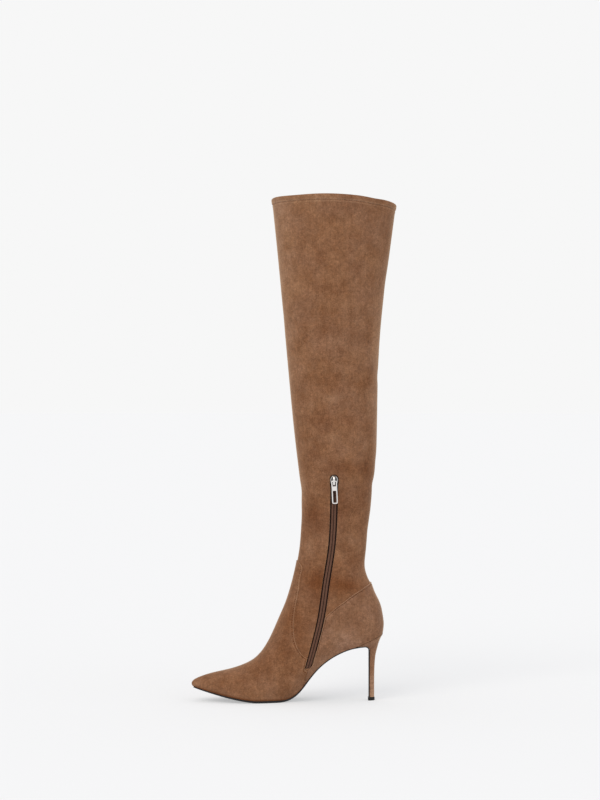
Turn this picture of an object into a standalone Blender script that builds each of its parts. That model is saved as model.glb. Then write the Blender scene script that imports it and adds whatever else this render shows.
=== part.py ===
"""Thigh-high pointed stiletto boot in suede, for the right foot, with a zip on its inner side.

The toe points along -X, the inner (big toe) side faces -Y, and +Z is up. The ground is z = 0,
and the origin is under the middle of the boot's outline. Everything is in metres.

The upper is a height field over the boot's side outline. A front line runs from the toe up the
instep to the collar, a back line runs from the heel seat to the collar, and the feather line,
where the upper meets the sole, joins their lower ends. Loops run from the front line to the back
line, and half widths read from the tables below push each loop out to the inner and outer side.
"""

import math

import bmesh
import bpy
import numpy as np
from mathutils import Vector

# Driving sizes of the last and the foot
FOOT_LENGTH = 0.2403
BALL_WIDTH = 0.078
HEEL_HEIGHT = 0.0831
ANKLE_ABOVE_SEAT = 0.104
TOE_SPRING = 0.0170
TOE_CURVE = 1.3
HEEL_ROUND = 0.028

# Shaft
BOOT_HEIGHT = 0.6255
COLLAR_DROP = 0.0075
COLLAR_BOW = 0.0060
COLLAR_DEPTH = 0.154
COLLAR_WIDTH = 0.126
SHAFT_AXIS_FROM_HEEL = 0.0633
HEM_HEIGHT = 0.0072
HEM_STEP = 0.0005

# Leather thicknesses and the gap left between pieces that touch
WALL = 0.0016
VAMP_THICKNESS = 0.0009
COUNTER_THICKNESS = 0.0009
GAP = 0.0003

# How far the shapes that cut out the panels reach below the ground
CUTTER_REACH = 0.02

# Sole and insole
SOLE_THICKNESS = 0.0032
SOLE_TOE_THICKNESS = 0.0020
SOLE_WAIST_THICKNESS = 0.0018
FLAP_THICKNESS = 0.0012
SOLE_INSET = 0.0012
WAIST_INSET = 0.0009
TREAD_LENGTH = 0.028
TREAD_FROM_HEEL = 0.1306
INSOLE_THICKNESS = 0.0018
INSOLE_CLEARANCE = 0.0003
INSOLE_LIFT = 0.0006

# Heel and its top piece
BREAST_FROM_HEEL = 0.0192
LIP_FROM_HEEL = 0.0366
LIP_THICKNESS = 0.0006
LIP_SETBACK = 0.0030
BREAST_FILLET = 0.0050
SHANK_RISE = 0.0673
SEAT_DEPTH = 0.0178
SEAT_HALF_WIDTH = 0.0245
TIP_HEIGHT = 0.0040
TIP_MARGIN = 0.0006

# Zip
ZIP_TOP = 0.2825
ZIP_BOTTOM = 0.0425
ZIP_OPENING = 0.0096
TAPE_WIDTH = 0.0165
TAPE_THICKNESS = 0.0008
TAPE_GAP = 0.0006
TAPE_END = 0.0025
TEETH_WIDTH = 0.0062
TEETH_THICKNESS = 0.0018
SLIDER_WIDTH = 0.0104
SLIDER_FOOT_WIDTH = 0.0080
SLIDER_LENGTH = 0.0130
SLIDER_THICKNESS = 0.0014
BRIDGE_WIDTH = 0.0028
BRIDGE_LENGTH = 0.0108
BRIDGE_BAND = 0.0010
BRIDGE_CLEAR = 0.0026
PULL_LENGTH = 0.0300
PULL_WIDTH = 0.0078
PULL_THICKNESS = 0.0014
PULL_ARM = 0.0020
PULL_EYE = 0.0068
PULL_PLATE = 0.0050
PULL_END = 0.0022

# Mesh density of the upper: columns around, rows on the foot and rows on the shaft. A loop's row
# counts from 0 at the feather line over 1 at the ankle to the collar's.
COLUMNS = 44
FOOT_ROWS = 16
SHAFT_ROWS = 14
COLLAR_ROW = 2
CURVE_POINTS = 260
ROW_POWER = 1.35

ANKLE_HEIGHT = HEEL_HEIGHT + ANKLE_ABOVE_SEAT
ORIGIN_FROM_HEEL = 0.1126
HEEL_BACK = ORIGIN_FROM_HEEL
SHAFT_AXIS = HEEL_BACK - SHAFT_AXIS_FROM_HEEL
BREAST = HEEL_BACK - BREAST_FROM_HEEL
LIP = HEEL_BACK - LIP_FROM_HEEL
TREAD_BACK = HEEL_BACK - TREAD_FROM_HEEL
TREAD_FRONT = TREAD_BACK - TREAD_LENGTH
VAMP_SKIN = GAP + VAMP_THICKNESS
COUNTER_SKIN = GAP + COUNTER_THICKNESS

# Front line over the foot. along: share of the foot length ahead of the heel.
# up: height over the toe spring, as a share of the ankle height.
INSTEP = {
    "columns": ("along", "up"),
    "rows": (
        (1.000, 0.026),
        (0.991, 0.052),
        (0.975, 0.0705),
        (0.923, 0.113),
        (0.861, 0.152),
        (0.798, 0.187),
        (0.736, 0.227),
        (0.673, 0.281),
        (0.642, 0.321),
        (0.611, 0.378),
        (0.580, 0.455),
        (0.548, 0.549),
        (0.517, 0.641),
        (0.486, 0.763),
        (0.455, 0.932),
    ),
}

# Back line over the heel. rise: share of the way from the seat to the ankle.
# inset: how far it lies ahead of the heel's rearmost point, as a share of the foot length.
HEEL_BACK_LINE = {
    "columns": ("rise", "inset"),
    "rows": (
        (0.000, 0.0058),
        (0.115, 0.0000),
        (0.224, 0.0050),
        (0.367, 0.0195),
        (0.512, 0.0490),
        (0.610, 0.0650),
        (0.729, 0.0924),
    ),
}

# Shaft, from the ankle (0) to the collar (1). front and back: how far the lines lie from the
# shaft's axis, as shares of the collar's depth. wide: share of the collar's width.
SHAFT = {
    "columns": ("height", "front", "back", "wide"),
    "rows": (
        (0.000, 0.284, 0.265, 0.500),
        (0.060, 0.263, 0.279, 0.525),
        (0.100, 0.256, 0.296, 0.550),
        (0.145, 0.259, 0.309, 0.585),
        (0.185, 0.266, 0.320, 0.620),
        (0.230, 0.280, 0.338, 0.665),
        (0.315, 0.309, 0.353, 0.740),
        (0.485, 0.357, 0.362, 0.800),
        (0.655, 0.401, 0.390, 0.860),
        (0.825, 0.446, 0.449, 0.930),
        (1.000, 0.497, 0.515, 1.000),
    ),
}

# Last, from the heel (0) to the toe (1). feather: half widths at the sole's edge, to the inner
# and the outer side. body: half widths above it. bulge: height at which the body is reached.
# crown: depth of the rounding below the instep line. All are shares of the ball width.
LAST = {
    "columns": ("along", "feather_in", "feather_out", "body_in", "body_out", "bulge", "crown"),
    "rows": (
        (0.00, 0.325, 0.325, 0.370, 0.370, 0.26, 0.50),
        (0.15, 0.325, 0.330, 0.375, 0.385, 0.28, 0.50),
        (0.30, 0.255, 0.315, 0.385, 0.415, 0.34, 0.50),
        (0.45, 0.255, 0.330, 0.400, 0.430, 0.34, 0.50),
        (0.56, 0.380, 0.400, 0.440, 0.460, 0.26, 0.52),
        (0.65, 0.450, 0.450, 0.487, 0.490, 0.19, 0.54),
        (0.72, 0.462, 0.430, 0.500, 0.465, 0.17, 0.50),
        (0.80, 0.410, 0.330, 0.445, 0.365, 0.14, 0.38),
        (0.88, 0.300, 0.185, 0.325, 0.215, 0.11, 0.27),
        (0.95, 0.185, 0.060, 0.200, 0.080, 0.09, 0.16),
        (1.00, 0.115, -0.010, 0.125, 0.000, 0.06, 0.09),
    ),
}

# Underside of the sole behind the tread. along: share of the way from the tread's back to the
# heel breast. up: share of the shank's rise.
SHANK = {
    "columns": ("along", "up"),
    "rows": (
        (0.000, 0.000),
        (0.091, 0.022),
        (0.178, 0.095),
        (0.303, 0.325),
        (0.450, 0.620),
        (0.562, 0.772),
        (0.719, 0.920),
        (0.850, 0.990),
        (0.950, 1.000),
    ),
}

# Heel, from the lip under the seat (0) to the top piece (1), measured along its front.
# down: share of the heel height at the back. back: depth behind the breast, as a share of the
# seat's depth. wide: share of the seat's half width. round: share of the depth that is rounded.
HEEL = {
    "columns": ("front", "down", "back", "wide", "round"),
    "rows": (
        (0.000, 0.010, 0.990, 1.000, 0.80),
        (0.065, 0.045, 0.880, 0.900, 0.80),
        (0.130, 0.090, 0.780, 0.750, 0.82),
        (0.180, 0.140, 0.690, 0.610, 0.84),
        (0.235, 0.225, 0.575, 0.470, 0.86),
        (0.330, 0.340, 0.445, 0.350, 0.90),
        (0.470, 0.480, 0.380, 0.275, 0.92),
        (0.680, 0.680, 0.350, 0.225, 0.92),
        (1.000, 1.000, 0.345, 0.205, 0.92),
    ),
}

# Edge of the vamp, from the peak on the front line down to the zip. along: share of the foot
# length ahead of the heel. up: share of the ankle height. The next two tables are alike.
VAMP_EDGE = {
    "columns": ("along", "up"),
    "rows": (
        (0.490, 0.985),
        (0.456, 0.940),
        (0.4365, 0.922),
        (0.4225, 0.892),
        (0.429, 0.851),
        (0.4386, 0.769),
        (0.456, 0.642),
        (0.467, 0.536),
        (0.466, 0.465),
        (0.456, 0.395),
        (0.434, 0.338),
        (0.412, 0.308),
        (0.386, 0.293),
    ),
}

# Top edge of the counter, from the back of the heel forward to the zip
COUNTER_EDGE = {
    "columns": ("along", "up"),
    "rows": (
        (-0.020, 0.855),
        (0.062, 0.796),
        (0.114, 0.755),
        (0.1656, 0.715),
        (0.209, 0.672),
        (0.249, 0.635),
        (0.288, 0.590),
        (0.325, 0.545),
    ),
}

# Middle of the zip from the ankle down to the feather line, where it goes on as a seam
ZIP_LINE = {
    "columns": ("along", "up"),
    "rows": (
        (0.2635, 1.220),
        (0.2740, 1.020),
        (0.2880, 0.900),
        (0.3030, 0.780),
        (0.3260, 0.574),
        (0.3600, 0.389),
        (0.3940, 0.228),
        (0.4170, 0.120),
        (0.4300, 0.040),
    ),
}


def column(table, name):
    """One named column of a table, as an array."""
    return np.array(table["rows"], float)[:, table["columns"].index(name)]


def eased(table, name, at):
    """A named column read at values of the first column, on a smooth line that never overshoots."""
    x = column(table, table["columns"][0])
    y = column(table, name)
    step = np.diff(x)
    rate = np.diff(y) / step
    slope = np.concatenate([rate[:1], np.zeros(len(x) - 2), rate[-1:]])
    one_way = rate[:-1] * rate[1:] > 0
    before = 2 * step[1:] + step[:-1]
    after = step[1:] + 2 * step[:-1]
    safe_before = np.where(one_way, rate[:-1], 1.0)
    safe_after = np.where(one_way, rate[1:], 1.0)
    mean = (before + after) / (before / safe_before + after / safe_after)
    slope[1:-1] = np.where(one_way, mean, 0.0)
    at = np.clip(at, x[0], x[-1])
    i = np.clip(np.searchsorted(x, at) - 1, 0, len(step) - 1)
    t = (at - x[i]) / step[i]
    whole = 3 * t**2 - 2 * t**3
    return (
        y[i] * (1 - whole)
        + y[i + 1] * whole
        + slope[i] * step[i] * t * (1 - t) ** 2
        - slope[i + 1] * step[i] * t**2 * (1 - t)
    )


def spline(points, count):
    """A natural cubic spline through the points, sampled at even steps of its length."""
    points = np.array(points, float)
    chord = np.linalg.norm(np.diff(points, axis=0), axis=1)
    knots = np.concatenate([[0], np.cumsum(chord)])
    n = len(points)
    system = np.eye(n)
    right = np.zeros_like(points)
    for i in range(1, n - 1):
        system[i, i - 1 : i + 2] = chord[i - 1], 2 * (chord[i - 1] + chord[i]), chord[i]
        rise = (points[i + 1] - points[i]) / chord[i]
        fall = (points[i] - points[i - 1]) / chord[i - 1]
        right[i] = 6 * (rise - fall)
    bend = np.linalg.solve(system, right)
    at = np.linspace(0, knots[-1], 4 * count)
    i = np.clip(np.searchsorted(knots, at) - 1, 0, n - 2)
    h = chord[i][:, None]
    a = (knots[i + 1] - at)[:, None] / h
    b = 1 - a
    curve = a * points[i] + b * points[i + 1]
    curve += ((a**3 - a) * bend[i] + (b**3 - b) * bend[i + 1]) * h**2 / 6
    return evenly(curve, count)


def lengths(curve):
    """The length along a polyline at each of its points."""
    steps = np.linalg.norm(np.diff(curve, axis=0), axis=1)
    return np.concatenate([[0], np.cumsum(steps)])


def evenly(curve, count):
    """The polyline resampled at even steps of its length."""
    length = lengths(curve)
    at = np.linspace(0, length[-1], count)
    return np.column_stack([np.interp(at, length, part) for part in curve.T])


def left_of(curve):
    """The unit normal to the left of a polyline's direction, at each of its points."""
    along = np.gradient(curve, axis=0)
    along /= np.linalg.norm(along, axis=1)[:, None]
    return np.column_stack([-along[:, 1], along[:, 0]])


def smoothstep(low, high, value):
    """Goes smoothly from 0 at low to 1 at high."""
    t = np.clip((value - low) / (high - low), 0, 1)
    return t * t * (3 - 2 * t)


def rounding(share):
    """A quarter circle: 0 at share 0, and level at 1 from share 1 on."""
    return np.sqrt(np.clip(1 - (1 - np.clip(share, 0, 1)) ** 2, 0, 1))


def gap_to(curve, x, z):
    """The shortest distance from each point (x, z) to a polyline."""
    start = curve[:-1]
    run = np.diff(curve, axis=0)
    point = np.stack([x, z], -1)[..., None, :]
    share = ((point - start) * run).sum(-1) / (run**2).sum(-1)
    nearest = start + np.clip(share, 0, 1)[..., None] * run
    return np.linalg.norm(point - nearest, axis=-1).min(-1)


def place(along, up):
    """Side-view places (x, z) from shares of the foot length and of the ankle height."""
    x = HEEL_BACK - np.array(along) * FOOT_LENGTH
    return np.column_stack([x, np.array(up) * ANKLE_HEIGHT])


def toe_lift(x):
    """Height of the sole's underside ahead of the tread, from the toe spring."""
    ahead = np.clip(TREAD_FRONT - x, 0, None) / (TREAD_FRONT - (HEEL_BACK - FOOT_LENGTH))
    return TOE_SPRING * ahead**TOE_CURVE


def sole_path():
    """The underside of the sole in side view, from the toe back and down the heel breast."""
    toe = HEEL_BACK - FOOT_LENGTH + SOLE_INSET + VAMP_SKIN
    front_x = np.linspace(toe, TREAD_FRONT, 12)
    front = np.column_stack([front_x, toe_lift(front_x)])
    tread = np.array([(TREAD_FRONT + TREAD_LENGTH * share, 0.0) for share in (0.5, 1.0)])
    waist = column(SHANK, "along")[:, None] * (BREAST - TREAD_BACK) + TREAD_BACK
    knots = np.column_stack([waist[:, 0], column(SHANK, "up") * SHANK_RISE])
    knots[-1, 0] = BREAST - BREAST_FILLET
    shank = spline(knots, 15)[1:]
    turns = np.linspace(0, math.pi / 2, 5)[1:]
    turn_x = BREAST + BREAST_FILLET * (np.sin(turns) - 1)
    turn_z = SHANK_RISE + BREAST_FILLET * (np.cos(turns) - 1)
    foot = TIP_HEIGHT + GAP
    down = np.linspace(SHANK_RISE - BREAST_FILLET, foot, 7)[1:]
    breast = np.column_stack([np.full(len(down), BREAST), down])
    return np.concatenate([front, tread, shank, np.column_stack([turn_x, turn_z]), breast])


def sole_thickness(path):
    """Thickness of the sole along its path: full at the tread, skived at the waist and flap."""
    length = lengths(path)
    tread_front = np.interp(TREAD_FRONT, path[:12, 0], length[:12])
    tread_back = tread_front + TREAD_LENGTH
    waist = tread_back + 0.3 * (BREAST - TREAD_BACK)
    lip = np.interp(LIP, path[:28, 0], length[:28])
    at = (0, tread_front, tread_back, waist, lip)
    thick = (
        SOLE_TOE_THICKNESS,
        SOLE_THICKNESS,
        SOLE_THICKNESS,
        SOLE_WAIST_THICKNESS,
        FLAP_THICKNESS,
    )
    return np.interp(length, at, thick)


UNDERSIDE = sole_path()
SOLE_TOP = UNDERSIDE + left_of(UNDERSIDE) * sole_thickness(UNDERSIDE)[:, None]
SEAT_BACK = HEEL_BACK - HEEL_BACK_LINE["rows"][0][1] * FOOT_LENGTH


def feather_height(x):
    """Height of the upper's lower edge: just over the sole, then straight up the heel seat."""
    ahead = SOLE_TOP[:, 0] < LIP
    ahead &= np.arange(len(SOLE_TOP)) < 28
    lip_height = np.interp(LIP, SOLE_TOP[:28, 0], SOLE_TOP[:28, 1])
    line_x = np.append(SOLE_TOP[ahead, 0], (LIP, SEAT_BACK))
    line_z = np.append(SOLE_TOP[ahead, 1], (lip_height, HEEL_HEIGHT))
    return np.interp(x, line_x, line_z) + GAP


def front_line():
    """The front line in side view, from the feather line under the toe up to the collar."""
    x = HEEL_BACK - column(INSTEP, "along") * FOOT_LENGTH
    z = toe_lift(x) + column(INSTEP, "up") * ANKLE_HEIGHT
    toe = HEEL_BACK - 0.993 * FOOT_LENGTH
    start = (toe, feather_height(toe))
    shaft_x = SHAFT_AXIS - column(SHAFT, "front") * COLLAR_DEPTH
    shaft_z = shaft_height(column(SHAFT, "height"))
    knots = [start, *zip(x, z), *zip(shaft_x[1:], shaft_z[1:])]
    curve = spline(knots, CURVE_POINTS)
    vamp_top = VAMP_EDGE["rows"][0][1] * ANKLE_HEIGHT
    covered = 1 - smoothstep(vamp_top, vamp_top + COLLAR_DEPTH / 4, curve[:, 1])
    covered[curve[:, 0] > SHAFT_AXIS] = 0
    return curve - left_of(curve) * (covered * VAMP_SKIN)[:, None]


def back_line():
    """The back line in side view, from the back of the heel seat up to the collar."""
    x = HEEL_BACK - column(HEEL_BACK_LINE, "inset") * FOOT_LENGTH
    z = HEEL_HEIGHT + GAP + column(HEEL_BACK_LINE, "rise") * ANKLE_ABOVE_SEAT
    shaft_x = SHAFT_AXIS + column(SHAFT, "back") * COLLAR_DEPTH
    shaft_z = shaft_height(column(SHAFT, "height"))
    curve = spline([*zip(x, z), *zip(shaft_x, shaft_z)], CURVE_POINTS)
    counter_top = COUNTER_EDGE["rows"][1][1] * ANKLE_HEIGHT
    covered = 1 - smoothstep(counter_top, counter_top + ANKLE_ABOVE_SEAT / 8, curve[:, 1])
    return curve + left_of(curve) * (covered * COUNTER_SKIN)[:, None]


def shaft_height(share):
    """Height over the ground at a share of the way from the ankle to the collar."""
    return ANKLE_HEIGHT + share * (BOOT_HEIGHT - ANKLE_HEIGHT)


FRONT = front_line()
BACK = back_line()


def half_widths(x, z):
    """Half width of the upper at side-view points, and how far its middle lies towards +Y."""
    along = (HEEL_BACK - x) / FOOT_LENGTH
    rise = np.clip(z - feather_height(x), 0, None)
    reach = np.clip(rise / (eased(LAST, "bulge", along) * BALL_WIDTH), 0, 1)
    swell = 1 - (1 - reach) ** 2
    inner = eased(LAST, "feather_in", along) * (1 - swell) + eased(LAST, "body_in", along) * swell
    outer = eased(LAST, "feather_out", along) * (1 - swell) + eased(LAST, "body_out", along) * swell
    height = (z - ANKLE_HEIGHT) / (BOOT_HEIGHT - ANKLE_HEIGHT)
    depth = (eased(SHAFT, "front", height) + eased(SHAFT, "back", height)) * COLLAR_DEPTH / 2
    leg = smoothstep(HEEL_HEIGHT * 0.9, ANKLE_HEIGHT * 0.97, z)
    foot_width = (inner + outer) / 2 * BALL_WIDTH
    leg_width = eased(SHAFT, "wide", height) * COLLAR_WIDTH / 2
    width = foot_width * (1 - leg) + leg_width * leg
    crown = eased(LAST, "crown", along) * BALL_WIDTH * (1 - leg) + depth * leg
    heel = HEEL_ROUND * (1 - leg) + depth * leg
    width = width * rounding(gap_to(FRONT, x, z) / crown) * rounding(gap_to(BACK, x, z) / heel)
    return width, (outer - inner) / 2 * BALL_WIDTH * (1 - leg)


def ends_of_row(row):
    """Front and back ends (x, z) of a loop: rows 0 to 1 climb the foot, rows 1 to 2 the shaft."""
    front_length = lengths(FRONT)
    back_length = lengths(BACK)
    front_ankle = np.interp(ANKLE_HEIGHT, FRONT[40:, 1], front_length[40:])
    back_ankle = np.interp(ANKLE_HEIGHT, BACK[:, 1], back_length)
    foot = np.clip(row, 0, 1)
    shaft = np.clip(row - 1, 0, 1)
    front_end = np.interp(BOOT_HEIGHT, FRONT[40:, 1], front_length[40:])
    back_end = np.interp(BOOT_HEIGHT - COLLAR_DROP, BACK[:, 1], back_length)
    front_at = front_ankle * foot**ROW_POWER + (front_end - front_ankle) * shaft
    back_at = back_ankle * foot + (back_end - back_ankle) * shaft
    front = np.stack([np.interp(front_at, front_length, part) for part in FRONT.T], -1)
    back = np.stack([np.interp(back_at, back_length, part) for part in BACK.T], -1)
    return front, back


def on_upper(turn, row):
    """Points of the upper's outer face. turn: 0 at the front, a quarter at the inner side, a
    half at the back and three quarters at the outer side. row: as in ends_of_row."""
    front, back = ends_of_row(row)
    across = (1 - np.cos(2 * np.pi * turn)) / 2
    flat = front + across[..., None] * (back - front)
    toe = FRONT[0, 0]
    level_x = toe + across * (SEAT_BACK - toe)
    chord = FRONT[0, 1] + across * (BACK[0, 1] - FRONT[0, 1])
    sag = feather_height(level_x) - chord
    x = flat[..., 0]
    bow = COLLAR_BOW * np.abs(np.sin(2 * np.pi * turn)) ** 1.2 * smoothstep(1.5, 2, row)
    z = flat[..., 1] + sag * np.clip(1 - row, 0, 1) ** 2 + bow
    width, middle = half_widths(x, z)
    side = -np.sign(np.sin(2 * np.pi * turn) + 1e-12)
    return np.stack([x, middle + side * width, z], -1)


def upper_grid(turns, rows):
    """Points and outward normals of the upper on a grid of rows by turns."""
    row, turn = np.meshgrid(rows, turns, indexing="ij")
    small = 1e-3
    around = on_upper(turn + small, row) - on_upper(turn - small, row)
    low = np.clip(row - small, 0, 2)
    high = np.clip(row + small, 0, 2)
    normal = np.cross(around, on_upper(turn, high) - on_upper(turn, low))
    normal /= np.linalg.norm(normal, axis=-1)[..., None]
    return on_upper(turn, row), normal


def inner_side(x, z, out):
    """Points on the inner (medial) side of the upper over (x, z), moved out along the normal."""
    small = 1e-4

    def face(at_x, at_z):
        width, middle = half_widths(at_x, at_z)
        return middle - width

    slope_x = (face(x + small, z) - face(x - small, z)) / (2 * small)
    slope_z = (face(x, z + small) - face(x, z - small)) / (2 * small)
    normal = np.stack([slope_x, -np.ones_like(slope_x), slope_z], -1)
    normal /= np.linalg.norm(normal, axis=-1)[..., None]
    return np.stack([x, face(x, z), z], -1) + normal * np.asarray(out)[..., None], normal


def material(name, colour, roughness, metallic=0.0):
    """A plain Principled material."""
    made = bpy.data.materials.new(name)
    made.use_nodes = True
    shader = made.node_tree.nodes["Principled BSDF"]
    shader.inputs["Base Color"].default_value = (*colour, 1)
    shader.inputs["Roughness"].default_value = roughness
    shader.inputs["Metallic"].default_value = metallic
    return made


def add_mesh(name, points, faces, finish, sharp_degrees=40):
    """A mesh object with merged doubles and outward faces, shaded smooth but for sharp edges."""
    mesh = bpy.data.meshes.new(name)
    mesh.from_pydata([tuple(map(float, p)) for p in points], [], faces)
    mesh.materials.append(finish)
    work = bmesh.new()
    work.from_mesh(mesh)
    bmesh.ops.remove_doubles(work, verts=work.verts, dist=1e-6)
    bmesh.ops.recalc_face_normals(work, faces=work.faces)
    work.to_mesh(mesh)
    work.free()
    mesh.shade_smooth()
    mesh.set_sharp_from_angle(angle=math.radians(sharp_degrees))
    made = bpy.data.objects.new(name, mesh)
    bpy.context.scene.collection.objects.link(made)
    return made


def loft(rings, closed_ends=True):
    """Points and faces of a solid through rings of equal count, capped at both ends."""
    count = len(rings[0])
    points = [p for ring in rings for p in ring]
    faces = []
    for i in range(len(rings) - 1):
        for j in range(count):
            k = (j + 1) % count
            low = i * count
            faces.append((low + j, low + k, low + count + k, low + count + j))
    if closed_ends:
        faces.append(tuple(range(count)))
        last = (len(rings) - 1) * count
        faces.append(tuple(range(last, last + count)))
    return points, faces


def sheet_solid(outer, inner, wraps):
    """Points and faces of a solid between two grids of points. wraps: the columns close up."""
    rows, columns = outer.shape[:2]
    points = [*outer.reshape(-1, 3), *inner.reshape(-1, 3)]
    behind = rows * columns
    last = columns if wraps else columns - 1
    faces = []
    for j in range(last):
        k = (j + 1) % columns
        for i in range(rows - 1):
            a, b = i * columns + j, i * columns + k
            c, d = b + columns, a + columns
            for one, two, three in ((a, b, c), (a, c, d)):
                faces.append((one, two, three))
                faces.append((behind + three, behind + two, behind + one))
        top = (rows - 1) * columns
        faces.append((j, behind + j, behind + k, k))
        faces.append((top + j, top + k, behind + top + k, behind + top + j))
    if not wraps:
        for i in range(rows - 1):
            low, high = i * columns, (i + 1) * columns
            faces.append((low, high, behind + high, behind + low))
            low, high = low + columns - 1, high + columns - 1
            faces.append((low, behind + low, behind + high, high))
    return points, faces


def prism(name, outline, y_low, y_high):
    """A hidden cutter: a side-view outline run through from y_low to y_high."""
    rings = [[(x, y, z) for x, z in outline] for y in (y_low, y_high)]
    made = add_mesh(name, *loft(rings), material(name, (1, 0, 0), 0.5))
    made.hide_render = True
    made.display_type = "WIRE"
    return made


def cut(target, cutter, operation):
    """Adds a Boolean of a cutter to a piece."""
    modifier = target.modifiers.new(cutter.name, "BOOLEAN")
    modifier.operation = operation
    modifier.object = cutter
    modifier.solver = "EXACT"


def zip_line(count, top=ZIP_TOP, bottom=ZIP_BOTTOM):
    """The middle of the zip in side view, from top to bottom."""
    knots = place(column(ZIP_LINE, "along"), column(ZIP_LINE, "up"))
    line = spline([(knots[0, 0], 1.2 * ZIP_TOP), *knots], 4 * count)
    height = np.linspace(top, bottom, count)
    return np.column_stack([np.interp(-height, -line[:, 1], line[:, 0]), height])


def lane(line, half_width):
    """The outline of a band along a side-view line."""
    side = left_of(line) * half_width
    return np.concatenate([line + side, (line - side)[::-1]])


def make_upper(suede, slot):
    """The hollow suede upper, foot and shaft in one, with a thicker hem and the zip's slot."""
    turns = np.arange(COLUMNS) / COLUMNS
    hem = COLLAR_ROW - HEM_HEIGHT / (BOOT_HEIGHT - ANKLE_HEIGHT)
    foot = np.linspace(0, 1, FOOT_ROWS + 1)
    shaft = np.linspace(1, hem - 0.001, SHAFT_ROWS + 1)[1:]
    rows = np.concatenate([foot, shaft, [hem, COLLAR_ROW]])
    points, normals = upper_grid(turns, rows)
    step = np.where(rows >= hem, HEM_STEP, 0)[:, None, None]
    outer = points + normals * step
    inner = points - normals * (WALL + step)
    inner[0, :, 2] = outer[0, :, 2]
    inner[-1, :, 2] = outer[-1, :, 2]
    upper = add_mesh("upper", *sheet_solid(outer, inner, wraps=True), suede)
    cut(upper, slot, "DIFFERENCE")
    return upper


def overlay(name, turns, rows, thickness, finish, region, slot):
    """A suede panel over the upper, following its outer face and cut to its outline."""
    points, normals = upper_grid(turns, rows)
    low = points + normals * GAP
    high = points + normals * (GAP + thickness)
    for sheet in (low, high):
        sheet[0, :, 2] = np.maximum(sheet[0, :, 2], points[0, :, 2])
    panel = add_mesh(name, *sheet_solid(high, low, wraps=False), finish)
    cut(panel, region, "INTERSECT")
    cut(panel, slot, "DIFFERENCE")
    return panel


def make_vamp(suede, slot):
    """The vamp panel: the toe and instep, up to the peak at the front of the ankle."""
    edge = spline(place(column(VAMP_EDGE, "along"), column(VAMP_EDGE, "up")), 40)
    joint = edge[-1, 1]
    seam = zip_line(5, joint - 2 * GAP, 0)
    far = HEEL_BACK - 1.1 * FOOT_LENGTH
    below = -CUTTER_REACH
    outline = [*edge, *(seam - (GAP / 2, 0)), (seam[-1, 0], below), (far, below), (far, edge[0, 1])]
    region = prism("vamp_region", outline, -BALL_WIDTH, BALL_WIDTH)
    turns = np.arange(-15, 16) / COLUMNS
    rows = np.linspace(0, 1, FOOT_ROWS + 1)
    return overlay("vamp", turns, rows, VAMP_THICKNESS, suede, region, slot)


def make_counter(suede, slot):
    """The counter panel around the back of the heel, forward to the zip."""
    edge = spline(place(column(COUNTER_EDGE, "along"), column(COUNTER_EDGE, "up")), 16)
    seam = zip_line(9, edge[-1, 1] - 2 * GAP, 0)
    far = HEEL_BACK + 0.1 * FOOT_LENGTH
    below = -CUTTER_REACH
    outline = [*edge, *(seam + (GAP / 2, 0)), (seam[-1, 0], below), (far, below), (far, edge[0, 1])]
    region = prism("counter_region", outline, -BALL_WIDTH, BALL_WIDTH)
    turns = np.arange(11, 34) / COLUMNS
    rows = np.linspace(0, 1, FOOT_ROWS + 1)[:14]
    return overlay("counter", turns, rows, COUNTER_THICKNESS, suede, region, slot)


def feather_loop(count, inset):
    """The upper's lower edge in plan, moved inwards, as pairs of inner and outer side points."""
    turns = np.arange(1, count) / (2 * count)
    pairs = []
    for side in (turns, 1 - turns):
        points = on_upper(side, np.zeros_like(side))[:, :2]
        ahead = on_upper(side + 1e-3, np.zeros_like(side))[:, :2]
        behind = on_upper(side - 1e-3, np.zeros_like(side))[:, :2]
        run = ahead - behind
        run /= np.linalg.norm(run, axis=1)[:, None]
        pairs.append(points + np.column_stack([-run[:, 1], run[:, 0]]) * -inset)
    return pairs


def make_insole(lining):
    """The insole, lying on the sole and the heel seat inside the upper's wall."""
    inner, outer = feather_loop(26, -(WALL + GAP + INSOLE_CLEARANCE))
    rings = []
    for (xi, yi), (xo, yo) in zip(inner, outer):
        if yo - yi < 0.002:
            continue
        zi, zo = feather_height(xi) + INSOLE_LIFT, feather_height(xo) + INSOLE_LIFT
        top = INSOLE_THICKNESS
        rings.append([(xi, yi, zi), (xo, yo, zo), (xo, yo, zo + top), (xi, yi, zi + top)])
    return add_mesh("insole", *loft(rings), lining)


def heel_half_width(front):
    """Half width of the heel at a share of the way down its front."""
    return eased(HEEL, "wide", front) * SEAT_HALF_WIDTH


def heel_front_path():
    """The heel's front in side view: under the lip, round the fillet and down the breast."""
    face = SOLE_TOP + left_of(UNDERSIDE) * GAP
    start = LIP + LIP_SETBACK
    under = (face[:, 0] > start) & (np.arange(len(face)) > 20)
    start_z = np.interp(start, face[20:28, 0], face[20:28, 1])
    return np.concatenate([[(start, start_z)], face[under]])


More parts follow.
